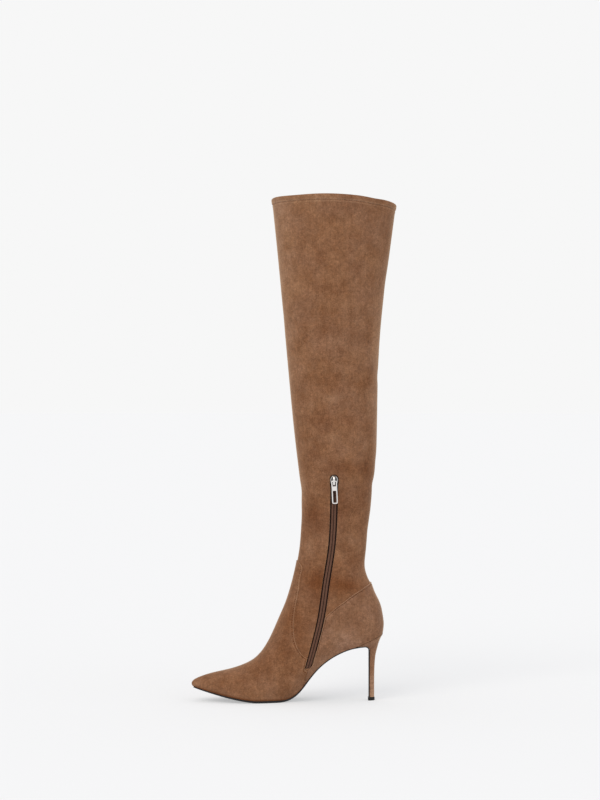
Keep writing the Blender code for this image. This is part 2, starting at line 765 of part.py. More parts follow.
def make_sole(leather):
    """The thin outsole, from the toe over the tread and waist and down the breast as a flap."""
    thick = sole_thickness(UNDERSIDE)
    length = lengths(UNDERSIDE)
    lip_at = np.interp(LIP, UNDERSIDE[:28, 0], length[:28])
    breast_share = np.clip((length - lip_at) / (length[-1] - lip_at), 0, 1)
    tread = np.interp(TREAD_FRONT, UNDERSIDE[:12, 0], length[:12])
    plan = np.clip(UNDERSIDE[:, 0], FRONT[0, 0], LIP)
    width, middle = half_widths(plan, feather_height(plan))
    narrow = np.interp(length, (tread, (tread + lip_at) / 2), (SOLE_INSET, WAIST_INSET))
    waist = width - narrow
    flap = heel_half_width(breast_share) * 0.95
    behind = smoothstep(0, 0.08, breast_share)
    half = waist * (1 - behind) + np.minimum(flap, waist) * behind
    half = np.clip(half, 0.0012, None)
    middle = middle * (1 - behind)
    rings = []
    for (x, z), (up_x, up_z), t, h, m in zip(UNDERSIDE, left_of(UNDERSIDE), thick, half, middle):
        edge = min(0.12 * t, 0.5 * h)
        section = ((-h, t), (-h, edge), (edge - h, 0), (h - edge, 0), (h, edge), (h, t))
        rings.append([(x + up_x * rise, m + y, z + up_z * rise) for y, rise in section])
    return add_mesh("outsole", *loft(rings), leather)


def heel_ring(front, back, half, round_share):
    """A D-shaped section of the heel in the plane through its front and back points."""
    steps = (1 - np.cos(np.linspace(0, np.pi, 10))) / 2
    corner = np.where(steps < 1e-6, 0.95, 1.0)
    wide = half * rounding((1 - steps) / round_share) * corner
    ring = []
    for side in (-1, 1):
        span = range(10) if side < 0 else range(8, -1, -1)
        for i in span:
            x, z = front + (back - front) * steps[i]
            ring.append((x, side * wide[i], z))
    return ring


def make_heel(suede):
    """The covered stiletto heel, hollowed in side view under its lip and down to the tip."""
    path = heel_front_path()
    length = lengths(path)
    shares = length / length[-1]
    down = eased(HEEL, "down", shares)
    foot = TIP_HEIGHT + GAP
    back_z = HEEL_HEIGHT - down * (HEEL_HEIGHT - foot)
    back_x = BREAST + FLAP_THICKNESS + GAP + eased(HEEL, "back", shares) * (
        SEAT_BACK - BREAST - FLAP_THICKNESS - GAP
    )
    lip = path[0] + (0, LIP_THICKNESS)
    seat_half = min(SEAT_HALF_WIDTH, LAST["rows"][0][1] * BALL_WIDTH)
    rings = [heel_ring(lip, np.array([SEAT_BACK, HEEL_HEIGHT]), seat_half, 0.8)]
    for at, start, x, z in zip(shares, path, back_x, back_z):
        half = heel_half_width(at)
        round_share = eased(HEEL, "round", np.array([at]))[0]
        rings.append(heel_ring(start, np.array([x, z]), half, round_share))
    return add_mesh("heel", *loft(rings), suede)


def make_heel_tip(rubber):
    """The hard top piece under the heel, a little proud of it all round."""
    last = HEEL["rows"][-1]
    front = BREAST - TIP_MARGIN
    start = BREAST + FLAP_THICKNESS + GAP
    back = start + last[2] * (SEAT_BACK - start) + TIP_MARGIN
    half = last[3] * SEAT_HALF_WIDTH + TIP_MARGIN
    rings = []
    for z, shrink in ((0, 0.0004), (0.0004, 0), (TIP_HEIGHT - 0.0003, 0), (TIP_HEIGHT, 0.0003)):
        ends = np.array([front + shrink, z]), np.array([back - shrink, z])
        rings.append(heel_ring(*ends, half - shrink, last[4]))
    return add_mesh("heel_tip", *loft(rings), rubber)


def zip_strip(name, line, half_width, low, high, columns, finish):
    """A strip along the zip, between two depths below (-) or above (+) the suede's face."""
    side = left_of(line)
    across = np.linspace(-half_width, half_width, columns)
    x = line[:, None, 0] + side[:, None, 0] * across
    z = line[:, None, 1] + side[:, None, 1] * across
    top, _ = inner_side(x, z, high + np.zeros(x.shape))
    base, _ = inner_side(x, z, low + np.zeros(x.shape))
    return add_mesh(name, *sheet_solid(top, base, wraps=False), finish)


def zip_frame():
    """Place, outward normal, up and sideways directions of the slider on the zip."""
    line = zip_line(3, ZIP_TOP, ZIP_TOP - SLIDER_LENGTH)
    at, normal = inner_side(line[1:2, 0], line[1:2, 1], np.array([TEETH_THICKNESS - WALL]))
    out = Vector(normal[0])
    side = Vector((1, 0, 0))
    up = out.cross(side).normalized()
    if up.z < 0:
        up.negate()
    side = up.cross(out).normalized()
    return Vector(at[0]), out, up, side


def add_bevel(piece, width, segments=2):
    """Rounds a hard piece's edges."""
    modifier = piece.modifiers.new("rounded edges", "BEVEL")
    modifier.width = width
    modifier.segments = segments
    modifier.limit_method = "ANGLE"


def make_slider(metal):
    """The zip's slider: a shield-shaped plate on the teeth, and the bridge that holds the pull."""
    at, out, up, side = zip_frame()
    half_top, half_foot = SLIDER_WIDTH / 2, SLIDER_FOOT_WIDTH / 2
    half = SLIDER_LENGTH / 2
    shield = (
        (-half_foot * 0.8, -half),
        (half_foot * 0.8, -half),
        (half_foot, -half * 0.8),
        (half_top, half * 0.45),
        (half_top * 0.62, half * 0.92),
        (half_top * 0.25, half),
        (-half_top * 0.25, half),
        (-half_top * 0.62, half * 0.92),
        (-half_top, half * 0.45),
        (-half_foot, -half * 0.8),
    )
    rings = []
    for rise in (GAP, GAP + SLIDER_THICKNESS):
        rings.append([at + side * s + up * t + out * rise for s, t in shield])
    plate = add_mesh("zip_slider", *loft(rings), metal)
    base = GAP + SLIDER_THICKNESS
    top = base + BRIDGE_CLEAR + BRIDGE_BAND
    reach = BRIDGE_LENGTH / 2
    hole = reach - 1.4 * BRIDGE_BAND
    deep = base - SLIDER_THICKNESS / 2
    arch = (
        (-reach, deep),
        (-reach, base + 0.45 * BRIDGE_CLEAR),
        (-0.62 * reach, top),
        (0.62 * reach, top),
        (reach, base + 0.45 * BRIDGE_CLEAR),
        (reach, deep),
        (hole, deep),
        (hole, base + 0.35 * BRIDGE_CLEAR),
        (0.6 * hole, top - BRIDGE_BAND),
        (-0.6 * hole, top - BRIDGE_BAND),
        (-hole, base + 0.35 * BRIDGE_CLEAR),
        (-hole, deep),
    )
    rings = []
    for s in (-BRIDGE_WIDTH / 2, BRIDGE_WIDTH / 2):
        rings.append([at + side * s + up * t + out * n for t, n in arch])
    bridge = add_mesh("slider_bridge", *loft(rings), metal)
    bridge.hide_render = True
    bridge.display_type = "WIRE"
    cut(plate, bridge, "UNION")
    add_bevel(plate, 0.00018, 1)
    return plate


def pull_axis():
    """The point on the hinge line of the pull, in the middle of the slider's bridge."""
    at, out, up, side = zip_frame()
    return at + out * (GAP + SLIDER_THICKNESS + BRIDGE_CLEAR / 2)


def make_pull(metal):
    """The pull tab, hanging plumb: a crossbar in the bridge, an eye, a plate and an open frame."""
    centre = pull_axis()
    half = PULL_WIDTH / 2
    bar = PULL_THICKNESS / 2
    columns = (-half, PULL_ARM - half, half - PULL_ARM, half)
    eye = bar + PULL_EYE
    window = eye + PULL_PLATE
    levels = (-bar, bar, eye, window, PULL_LENGTH - PULL_END - bar, PULL_LENGTH - bar)
    open_cells = {(1, 1), (1, 3)}
    work = bmesh.new()
    grid = [[work.verts.new((s, 0, -down)) for s in columns] for down in levels]
    for i in range(len(levels) - 1):
        for j in range(len(columns) - 1):
            if (j, i) not in open_cells:
                corners = (grid[i][j], grid[i][j + 1], grid[i + 1][j + 1], grid[i + 1][j])
                work.faces.new(corners)
    skin = bmesh.ops.extrude_face_region(work, geom=work.faces[:])
    lifted = [v for v in skin["geom"] if isinstance(v, bmesh.types.BMVert)]
    bmesh.ops.translate(work, verts=lifted, vec=(0, -PULL_THICKNESS, 0))
    bmesh.ops.translate(work, verts=work.verts, vec=(0, PULL_THICKNESS / 2, 0))
    bmesh.ops.recalc_face_normals(work, faces=work.faces)
    mesh = bpy.data.meshes.new("zip_pull")
    work.to_mesh(mesh)
    work.free()
    mesh.materials.append(metal)
    pull = bpy.data.objects.new("zip_pull", mesh)
    pull.location = centre
    bpy.context.scene.collection.objects.link(pull)
    add_bevel(pull, 0.0003, 1)
    return pull


def build():
    """Makes every piece of the boot."""
    for old in list(bpy.data.objects):
        bpy.data.objects.remove(old)
    suede = material("brown suede", (0.235, 0.108, 0.056), 0.95)
    lining = material("beige lining", (0.42, 0.29, 0.19), 0.75)
    leather = material("black sole leather", (0.012, 0.011, 0.010), 0.45)
    rubber = material("black top piece", (0.015, 0.014, 0.013), 0.6)
    tape = material("dark brown zip tape", (0.070, 0.035, 0.022), 0.85)
    metal = material("polished nickel", (0.80, 0.78, 0.75), 0.18, 1.0)

    slot_line = zip_line(24)
    slot = prism("zip_slot", lane(slot_line, ZIP_OPENING / 2), -COLLAR_WIDTH, 0)
    make_upper(suede, slot)
    make_vamp(suede, slot)
    make_counter(suede, slot)
    make_insole(lining)
    make_sole(leather)
    make_heel(suede)
    make_heel_tip(rubber)
    tape_line = zip_line(24, ZIP_TOP + TAPE_END, ZIP_BOTTOM - TAPE_END)
    curved = 1 - smoothstep(ZIP_BOTTOM, HEEL_HEIGHT, tape_line[:, 1])
    tape_high = -(WALL + TAPE_GAP * (1 + curved))[:, None]
    tape_low = tape_high - TAPE_THICKNESS
    zip_strip("zip_tape", tape_line, TAPE_WIDTH / 2, tape_low, tape_high, 4, tape)
    teeth_line = zip_line(28, ZIP_TOP - GAP, ZIP_BOTTOM + GAP)
    teeth_high = TEETH_THICKNESS - WALL
    zip_strip("zip_teeth", teeth_line, TEETH_WIDTH / 2, -WALL, teeth_high, 4, tape)
    make_slider(metal)
    make_pull(metal)


build()
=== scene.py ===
import math

import bpy
import numpy as np
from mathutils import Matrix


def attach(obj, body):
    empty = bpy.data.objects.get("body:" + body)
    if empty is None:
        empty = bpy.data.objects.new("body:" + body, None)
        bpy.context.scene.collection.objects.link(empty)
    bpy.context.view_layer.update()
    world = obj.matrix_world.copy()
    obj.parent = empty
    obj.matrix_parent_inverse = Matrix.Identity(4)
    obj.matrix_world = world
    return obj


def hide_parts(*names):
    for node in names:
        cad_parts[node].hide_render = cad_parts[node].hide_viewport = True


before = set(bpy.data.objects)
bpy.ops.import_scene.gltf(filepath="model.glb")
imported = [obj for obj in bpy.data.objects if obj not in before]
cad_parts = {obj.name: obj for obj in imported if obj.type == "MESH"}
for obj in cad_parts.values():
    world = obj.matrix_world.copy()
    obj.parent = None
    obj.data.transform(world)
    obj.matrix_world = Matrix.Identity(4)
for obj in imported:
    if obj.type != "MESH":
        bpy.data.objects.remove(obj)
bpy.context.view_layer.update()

# Suede upper.
# One soft suede shell from the feather line under the foot to the collar, pulled over a pointed
# high-heeled last. Its top is turned over as a hem, and a slot on the inner side takes the zip.

FOOT_LENGTH = 0.2403
BALL_WIDTH = 0.078
HEEL_HEIGHT = 0.0831
ANKLE_ABOVE_SEAT = 0.104
TOE_SPRING = 0.0170
TOE_CURVE = 1.3
HEEL_ROUND = 0.028
BOOT_HEIGHT = 0.6255
COLLAR_DROP = 0.0075
COLLAR_BOW = 0.0060
COLLAR_DEPTH = 0.154
COLLAR_WIDTH = 0.126
SHAFT_AXIS_FROM_HEEL = 0.0633
HEM_HEIGHT = 0.0072
HEM_STEP = 0.0009
HEM_RIM = 0.0012
WALL = 0.0016
SUEDE = 0.0010
PANEL = 0.0012
GAP = 0.0003

HEEL_BACK = 0.1126
ANKLE_HEIGHT = HEEL_HEIGHT + ANKLE_ABOVE_SEAT
SHAFT_AXIS = HEEL_BACK - SHAFT_AXIS_FROM_HEEL
SOLE_THICKNESS = 0.0032
SOLE_TOE_THICKNESS = 0.0020
SOLE_WAIST_THICKNESS = 0.0018
FLAP_THICKNESS = 0.0012
SOLE_INSET = 0.0012
WAIST_INSET = 0.0009
TREAD_LENGTH = 0.028
TREAD_BACK = HEEL_BACK - 0.1306
TREAD_FRONT = TREAD_BACK - TREAD_LENGTH
BREAST = HEEL_BACK - 0.0192
LIP = HEEL_BACK - 0.0366
BREAST_FILLET = 0.0050
SHANK_RISE = 0.0673
TIP_HEIGHT = 0.0040

INSTEP = {
    "columns": ("along", "up"),
    "rows": (
        (1.000, 0.026), (0.991, 0.052), (0.975, 0.0705), (0.923, 0.113), (0.861, 0.152),
        (0.798, 0.187), (0.736, 0.227), (0.673, 0.281), (0.642, 0.321), (0.611, 0.378),
        (0.580, 0.455), (0.548, 0.549), (0.517, 0.641), (0.486, 0.763), (0.455, 0.932),
    ),
}
HEEL_BACK_LINE = {
    "columns": ("rise", "inset"),
    "rows": (
        (0.000, 0.0058), (0.115, 0.0000), (0.224, 0.0050), (0.367, 0.0195), (0.512, 0.0490),
        (0.610, 0.0650), (0.729, 0.0924),
    ),
}
SHAFT = {
    "columns": ("height", "front", "back", "wide"),
    "rows": (
        (0.000, 0.284, 0.265, 0.500), (0.060, 0.263, 0.279, 0.525), (0.100, 0.256, 0.296, 0.550),
        (0.145, 0.259, 0.309, 0.585), (0.185, 0.266, 0.320, 0.620), (0.230, 0.280, 0.338, 0.665),
        (0.315, 0.309, 0.353, 0.740), (0.485, 0.357, 0.362, 0.800), (0.655, 0.401, 0.390, 0.860),
        (0.825, 0.446, 0.449, 0.930), (1.000, 0.497, 0.515, 1.000),
    ),
}
LAST = {
    "columns": ("along", "feather_in", "feather_out", "body_in", "body_out", "bulge", "crown"),
    "rows": (
        (0.00, 0.325, 0.325, 0.370, 0.370, 0.26, 0.50),
        (0.15, 0.325, 0.330, 0.375, 0.385, 0.28, 0.50),
        (0.30, 0.255, 0.315, 0.385, 0.415, 0.34, 0.50),
        (0.45, 0.255, 0.330, 0.400, 0.430, 0.34, 0.50),
        (0.56, 0.380, 0.400, 0.440, 0.460, 0.26, 0.52),
        (0.65, 0.450, 0.450, 0.487, 0.490, 0.19, 0.54),
        (0.72, 0.462, 0.430, 0.500, 0.465, 0.17, 0.50),
        (0.80, 0.410, 0.330, 0.445, 0.365, 0.14, 0.38),
        (0.88, 0.300, 0.185, 0.325, 0.215, 0.11, 0.27),
        (0.95, 0.185, 0.060, 0.200, 0.080, 0.09, 0.16),
        (1.00, 0.115, -0.010, 0.125, 0.000, 0.06, 0.09),
    ),
}
SHANK = {
    "columns": ("along", "up"),
    "rows": (
        (0.000, 0.000), (0.091, 0.022), (0.178, 0.095), (0.303, 0.325), (0.450, 0.620),
        (0.562, 0.772), (0.719, 0.920), (0.850, 0.990), (0.950, 1.000),
    ),
}
VAMP_EDGE = {
    "columns": ("along", "up"),
    "rows": (
        (0.490, 0.985), (0.456, 0.940), (0.4365, 0.922), (0.4225, 0.892), (0.429, 0.851),
        (0.4386, 0.769), (0.456, 0.642), (0.467, 0.536), (0.466, 0.465), (0.456, 0.395),
        (0.434, 0.338), (0.412, 0.308), (0.386, 0.293),
    ),
}
COUNTER_EDGE = {
    "columns": ("along", "up"),
    "rows": (
        (-0.020, 0.855), (0.062, 0.796), (0.114, 0.755), (0.1656, 0.715), (0.209, 0.672),
        (0.249, 0.635), (0.288, 0.590), (0.325, 0.545),
    ),
}
ZIP_LINE = {
    "columns": ("along", "up"),
    "rows": (
        (0.2635, 1.220), (0.2740, 1.020), (0.2880, 0.900), (0.3030, 0.780), (0.3260, 0.574),
        (0.3600, 0.389), (0.3940, 0.228), (0.4170, 0.120), (0.4300, 0.040),
    ),
}
ZIP_TOP = 0.2825
ZIP_BOTTOM = 0.0425
ZIP_OPENING = 0.0096

# Folds of the soft suede. turn and height place the middle; half_turn and half_height are its
# reach; lean is how much it climbs per turn; depth is in metres, less than 0 for a ridge.
FOLDS = {
    "columns": ("turn", "height", "half_turn", "half_height", "lean", "depth"),
    "rows": (
        (0.47, 0.268, 0.10, 0.0070, 0.05, 0.0008), (0.55, 0.296, 0.10, 0.0090, -0.04, 0.0006),
        (0.02, 0.263, 0.07, 0.0110, 0.05, 0.0010), (0.10, 0.232, 0.06, 0.0080, 0.10, 0.0005),
        (0.48, 0.403, 0.12, 0.0100, 0.06, 0.0007), (0.40, 0.386, 0.10, 0.0070, 0.10, -0.0004),
        (0.30, 0.392, 0.10, 0.0060, 0.08, 0.0005), (0.18, 0.374, 0.08, 0.0060, -0.08, 0.0004),
        (0.24, 0.352, 0.10, 0.0060, 0.05, 0.0005), (0.40, 0.218, 0.07, 0.0070, 0.12, 0.0007),
        (0.42, 0.196, 0.06, 0.0060, 0.10, -0.0004), (0.38, 0.178, 0.06, 0.0060, 0.10, 0.0006),
        (0.10, 0.190, 0.05, 0.0060, 0.12, 0.0005), (0.08, 0.160, 0.05, 0.0070, 0.10, 0.0004),
        (0.62, 0.214, 0.07, 0.0070, -0.12, 0.0006), (0.70, 0.382, 0.09, 0.0070, -0.06, 0.0006),
        (0.85, 0.350, 0.08, 0.0070, 0.05, 0.0005), (0.50, 0.520, 0.10, 0.0180, 0.03, 0.0005),
        (0.06, 0.480, 0.08, 0.0160, 0.04, 0.0004),
    ),
}

# Light (above 0) and dark patches, seen from the side: painted highlights along the shaft's edges
# and on its wrinkles, painted shade in its wrinkles and under the pull, and patches of the nap's
# own lighter and darker tone. Each row holds the middle, the reach, how far the patch moves along
# for each metre of height, and the tone.
NAP_AND_PAINTED_LIGHT = {
    "columns": ("along", "up", "half_along", "half_up", "slant", "tone"),
    "rows": (
        (-0.008, 0.520, 0.011, 0.144, -0.07, 0.25), (0.102, 0.463, 0.006, 0.069, 0.00, 0.13),
        (0.119, 0.565, 0.010, 0.045, 0.00, -0.15), (0.033, 0.554, 0.007, 0.007, 0.00, -0.12),
        (0.035, 0.512, 0.010, 0.007, 0.00, -0.10), (0.040, 0.461, 0.010, 0.009, 0.00, -0.15),
        (0.011, 0.470, 0.007, 0.007, 0.00, -0.12), (0.043, 0.398, 0.016, 0.010, 0.00, -0.20),
        (0.092, 0.340, 0.007, 0.013, 0.00, -0.22), (0.069, 0.345, 0.014, 0.010, 0.00, -0.16),
        (0.094, 0.282, 0.010, 0.030, 0.00, -0.16), (0.042, 0.220, 0.012, 0.014, 0.00, -0.13),
        (0.002, 0.095, 0.022, 0.028, 0.00, -0.15), (0.022, 0.222, 0.014, 0.030, 0.00, -0.08),
        (0.068, 0.252, 0.045, 0.052, 0.00, -0.10), (0.050, 0.154, 0.020, 0.022, 0.00, -0.17),
        (0.043, 0.094, 0.011, 0.018, 0.00, 0.12), (0.034, 0.351, 0.015, 0.013, 0.00, -0.17),
        (0.048, 0.378, 0.008, 0.003, 0.10, 0.16), (0.024, 0.370, 0.005, 0.003, 0.20, 0.15),
        (0.043, 0.331, 0.008, 0.003, 0.00, 0.14), (0.014, 0.331, 0.006, 0.009, 0.00, -0.12),
        (0.094, 0.402, 0.008, 0.010, 0.00, -0.14), (0.103, 0.346, 0.003, 0.012, 0.00, 0.26),
        (0.028, 0.309, 0.015, 0.010, 0.00, -0.12), (0.071, 0.291, 0.025, 0.009, 0.00, -0.22),
        (0.063, 0.240, 0.028, 0.016, 0.00, -0.14), (0.023, 0.231, 0.013, 0.015, 0.00, -0.20),
        (0.073, 0.173, 0.014, 0.015, 0.00, -0.12), (0.026, 0.151, 0.018, 0.018, 0.00, -0.36),
        (0.068, 0.144, 0.021, 0.011, -0.35, -0.40), (0.031, 0.120, 0.018, 0.033, 0.00, -0.18),
        (0.010, 0.512, 0.007, 0.007, 0.00, 0.12), (0.050, 0.448, 0.011, 0.007, 0.00, 0.12),
        (0.046, 0.376, 0.014, 0.007, 0.00, 0.18), (0.047, 0.328, 0.013, 0.006, 0.00, 0.20),
        (0.086, 0.321, 0.013, 0.013, 0.00, 0.17), (0.012, 0.266, 0.004, 0.013, 0.00, 0.25),
        (0.017, 0.189, 0.005, 0.015, 0.20, 0.16), (0.071, 0.204, 0.009, 0.009, 0.00, 0.14),
        (-0.003, 0.105, 0.008, 0.024, 0.30, -0.20), (0.008, 0.085, 0.010, 0.030, 0.00, -0.14),
        (-0.009, 0.065, 0.013, 0.013, 0.00, -0.16), (-0.027, 0.056, 0.018, 0.015, 0.50, -0.12),
        (-0.015, 0.016, 0.010, 0.010, 0.50, -0.12), (0.084, 0.106, 0.014, 0.015, 0.00, -0.06),
        (0.101, 0.115, 0.010, 0.028, 0.00, 0.12), (0.073, 0.075, 0.022, 0.007, -0.20, 0.16),
        (0.031, 0.048, 0.011, 0.010, 1.00, 0.22), (0.103, 0.395, 0.006, 0.043, 0.00, 0.14),
        (0.003, 0.350, 0.009, 0.075, 0.00, -0.08), (-0.073, 0.022, 0.037, 0.012, 0.00, -0.12),
        (-0.120, 0.020, 0.009, 0.005, 0.00, 0.14), (0.023, 0.625, 0.030, 0.008, 0.00, 0.26),
        (-0.018, 0.608, 0.007, 0.025, 0.00, 0.12), (0.006, 0.206, 0.009, 0.011, 0.00, -0.22),
        (-0.022, 0.590, 0.009, 0.035, 0.00, 0.10), (0.072, 0.622, 0.022, 0.009, 0.00, -0.10),
        (-0.036, 0.009, 0.018, 0.008, 0.00, 0.14), (-0.030, 0.040, 0.045, 0.018, 0.00, -0.12),
        (0.020, 0.615, 0.034, 0.014, 0.00, 0.09), (0.100, 0.425, 0.006, 0.009, 0.00, 0.16),
        (0.098, 0.365, 0.006, 0.009, 0.00, 0.16), (0.078, 0.480, 0.010, 0.015, 0.00, 0.09),
        (-0.0125, 0.530, 0.0012, 0.022, -0.02, 0.15), (-0.0085, 0.522, 0.0010, 0.018, -0.08, 0.13),
        (-0.0175, 0.545, 0.0010, 0.030, 0.03, 0.12), (0.1120, 0.575, 0.0011, 0.028, -0.05, 0.13),
        (0.056, 0.080, 0.018, 0.014, 0.40, 0.14),
    ),
}
# Painted shade in the folds and painted light on the ridges: tone lost per metre of fold depth.
FOLD_SHADE = 150

UPPER_COLUMNS = 196


def column(table, name):
    """One named column of a table, as an array."""
    return np.array(table["rows"], float)[:, table["columns"].index(name)]


def unit(vectors):
    """The vectors over their lengths, with a trace added so that none is divided by 0."""
    return vectors / (np.linalg.norm(vectors, axis=-1, keepdims=True) + 1e-12)


def signed_power(wave, power):
    """The wave's size raised to a power, with its sign kept."""
    return np.sign(wave) * np.abs(wave) ** power


def eased(table, name, at):
    """Monotone cubic through a table's column: each inner slope is the weighted harmonic mean of
    the slopes on its two sides, or 0 where they differ in sign."""
    x = column(table, table["columns"][0])
    y = column(table, name)
    step = np.diff(x)
    rate = np.diff(y) / step
    slope = np.concatenate([rate[:1], np.zeros(len(x) - 2), rate[-1:]])
    one_way = rate[:-1] * rate[1:] > 0
    before = 2 * step[1:] + step[:-1]
    after = step[1:] + 2 * step[:-1]
    safe_before = np.where(one_way, rate[:-1], 1.0)
    safe_after = np.where(one_way, rate[1:], 1.0)
    mean = (before + after) / (before / safe_before + after / safe_after)
    slope[1:-1] = np.where(one_way, mean, 0.0)
    at = np.clip(at, x[0], x[-1])
    i = np.clip(np.searchsorted(x, at) - 1, 0, len(step) - 1)
    t = (at - x[i]) / step[i]
    whole = 3 * t**2 - 2 * t**3
    rise = slope[i] * step[i] * t * (1 - t) ** 2 - slope[i + 1] * step[i] * t**2 * (1 - t)
    return y[i] * (1 - whole) + y[i + 1] * whole + rise


def lengths(curve):
    """Running length along a polyline."""
    steps = np.linalg.norm(np.diff(curve, axis=0), axis=1)
    return np.concatenate([[0], np.cumsum(steps)])


def read_along(curve, length, at):
    """Places on a polyline, or on values given beside it, at distances along it."""
    return np.column_stack([np.interp(at, length, part) for part in curve.T])


def evenly(curve, count):
    """The polyline read again at even steps of its length."""
    length = lengths(curve)
    return read_along(curve, length, np.linspace(0, length[-1], count))


def spline(points, count):
    """Natural cubic spline: second derivatives solve the usual three-term equations on the
    chord lengths, and the curve is then read at even steps."""
    points = np.array(points, float)
    knots = lengths(points)
    chord = np.diff(knots)
    n = len(points)
    system = np.eye(n)
    right = np.zeros_like(points)
    for i in range(1, n - 1):
        system[i, i - 1 : i + 2] = chord[i - 1], 2 * (chord[i - 1] + chord[i]), chord[i]
        rise = (points[i + 1] - points[i]) / chord[i]
        fall = (points[i] - points[i - 1]) / chord[i - 1]
        right[i] = 6 * (rise - fall)
    bend = np.linalg.solve(system, right)
    at = np.linspace(0, knots[-1], 4 * count)
    i = np.clip(np.searchsorted(knots, at) - 1, 0, n - 2)
    h = chord[i][:, None]
    a = (knots[i + 1] - at)[:, None] / h
    b = 1 - a
    curve = a * points[i] + b * points[i + 1]
    curve += ((a**3 - a) * bend[i] + (b**3 - b) * bend[i + 1]) * h**2 / 6
    return evenly(curve, count)


def left_of(curve):
    """Unit normal to the left of a side-view line."""
    along = unit(np.gradient(curve, axis=0))
    return np.column_stack([-along[:, 1], along[:, 0]])


def smoothstep(low, high, value):
    """3 t squared less 2 t cubed, with t from 0 at low to 1 at high."""
    t = np.clip((value - low) / (high - low), 0, 1)
    return t * t * (3 - 2 * t)


def rounding(share):
    """Quarter circle: the root of 1 less the square of 1 less the share."""
    return np.sqrt(np.clip(1 - (1 - np.clip(share, 0, 1)) ** 2, 0, 1))


GAP_BATCH = 8000


def gap_to(curve, x, z):
    """Shortest distance from points to a polyline, taken over all of its segments."""
    start = curve[:-1]
    run = np.diff(curve, axis=0)
    flat_x, flat_z = np.ravel(x), np.ravel(z)
    found = []
    for first in range(0, len(flat_x), GAP_BATCH):
        px = flat_x[first : first + GAP_BATCH, None] - start[:, 0]
        pz = flat_z[first : first + GAP_BATCH, None] - start[:, 1]
        share = np.clip((px * run[:, 0] + pz * run[:, 1]) / (run**2).sum(1), 0, 1)
        off = np.hypot(px - share * run[:, 0], pz - share * run[:, 1])
        found.append(off.min(1))
    return np.concatenate(found).reshape(np.shape(x))


def placed(table):
    """Side-view places from a table's shares of the foot length and of the ankle height."""
    along, up = column(table, "along"), column(table, "up")
    return np.column_stack([HEEL_BACK - along * FOOT_LENGTH, up * ANKLE_HEIGHT])


def toe_lift(x):
    """Height of the sole's underside ahead of the tread: the toe spring times a power."""
    ahead = np.clip(TREAD_FRONT - x, 0, None) / (TREAD_FRONT - (HEEL_BACK - FOOT_LENGTH))
    return TOE_SPRING * ahead**TOE_CURVE


SOLE_FRONT_POINTS = 60
SOLE_TREAD_POINTS = 8
SOLE_SHANK_POINTS = 90
SOLE_FILLET_POINTS = 14
SOLE_BREAST_POINTS = 29


def sole_path():
    """Underside of the sole in side view: toe spring, level tread, shank spline, a quarter circle
    under the heel and the straight breast down to the top piece."""
    toe = HEEL_BACK - FOOT_LENGTH + SOLE_INSET + PANEL
    front_x = np.linspace(toe, TREAD_FRONT, SOLE_FRONT_POINTS)
    tread_x = TREAD_FRONT + TREAD_LENGTH * np.linspace(0, 1, SOLE_TREAD_POINTS + 1)[1:]
    waist = column(SHANK, "along") * (BREAST - TREAD_BACK) + TREAD_BACK
    knots = np.column_stack([waist, column(SHANK, "up") * SHANK_RISE])
    knots[-1, 0] = BREAST - BREAST_FILLET
    shank = spline(knots, SOLE_SHANK_POINTS)[1:]
    turns = np.linspace(0, math.pi / 2, SOLE_FILLET_POINTS + 1)[1:]
    turn_x = BREAST + BREAST_FILLET * (np.sin(turns) - 1)
    turn_z = SHANK_RISE + BREAST_FILLET * (np.cos(turns) - 1)
    breast_top = SHANK_RISE - BREAST_FILLET
    down = np.linspace(breast_top, TIP_HEIGHT + GAP, SOLE_BREAST_POINTS + 1)[1:]
    x = np.concatenate([front_x, tread_x, shank[:, 0], turn_x, np.full(len(down), BREAST)])
    z = np.concatenate([toe_lift(front_x), 0 * tread_x, shank[:, 1], turn_z, down])
    return np.column_stack([x, z])


SOLE_LEVEL_POINTS = SOLE_FRONT_POINTS + SOLE_TREAD_POINTS + SOLE_SHANK_POINTS - 1
THINNING_LENGTH = 0.0334
UNDERSIDE = sole_path()
UNDER_LENGTH = lengths(UNDERSIDE)
TREAD_AT = UNDER_LENGTH[SOLE_FRONT_POINTS - 1]
LIP_AT = np.interp(LIP, UNDERSIDE[:SOLE_LEVEL_POINTS, 0], UNDER_LENGTH[:SOLE_LEVEL_POINTS])
SOLE_THICK = np.interp(
    UNDER_LENGTH,
    (0, TREAD_AT, TREAD_AT + TREAD_LENGTH, TREAD_AT + TREAD_LENGTH + THINNING_LENGTH, LIP_AT),
    (SOLE_TOE_THICKNESS, SOLE_THICKNESS, SOLE_THICKNESS, SOLE_WAIST_THICKNESS, FLAP_THICKNESS),
)
SOLE_TOP = UNDERSIDE + left_of(UNDERSIDE) * SOLE_THICK[:, None]
SEAT_BACK = HEEL_BACK - HEEL_BACK_LINE["rows"][0][1] * FOOT_LENGTH


def feather_height(x):
    """Height of the upper's lower edge: on the sole, then straight up the heel seat."""
    level = SOLE_TOP[:SOLE_LEVEL_POINTS]
    ahead = level[:, 0] < LIP
    lip_height = np.interp(LIP, level[:, 0], level[:, 1])
    line_x = np.append(level[ahead, 0], (LIP, SEAT_BACK))
    line_z = np.append(level[ahead, 1], (lip_height, HEEL_HEIGHT))
    return np.interp(x, line_x, line_z) + GAP


def shaft_height(share):
    """Height over the ground at a share of the way from the ankle to the collar."""
    return ANKLE_HEIGHT + share * (BOOT_HEIGHT - ANKLE_HEIGHT)


SIDE_LINE_POINTS = 260
TOE_START = 0.993
PAST_TOE = 40
ROW_POWER = 1.35
BOW_POWER = 1.2


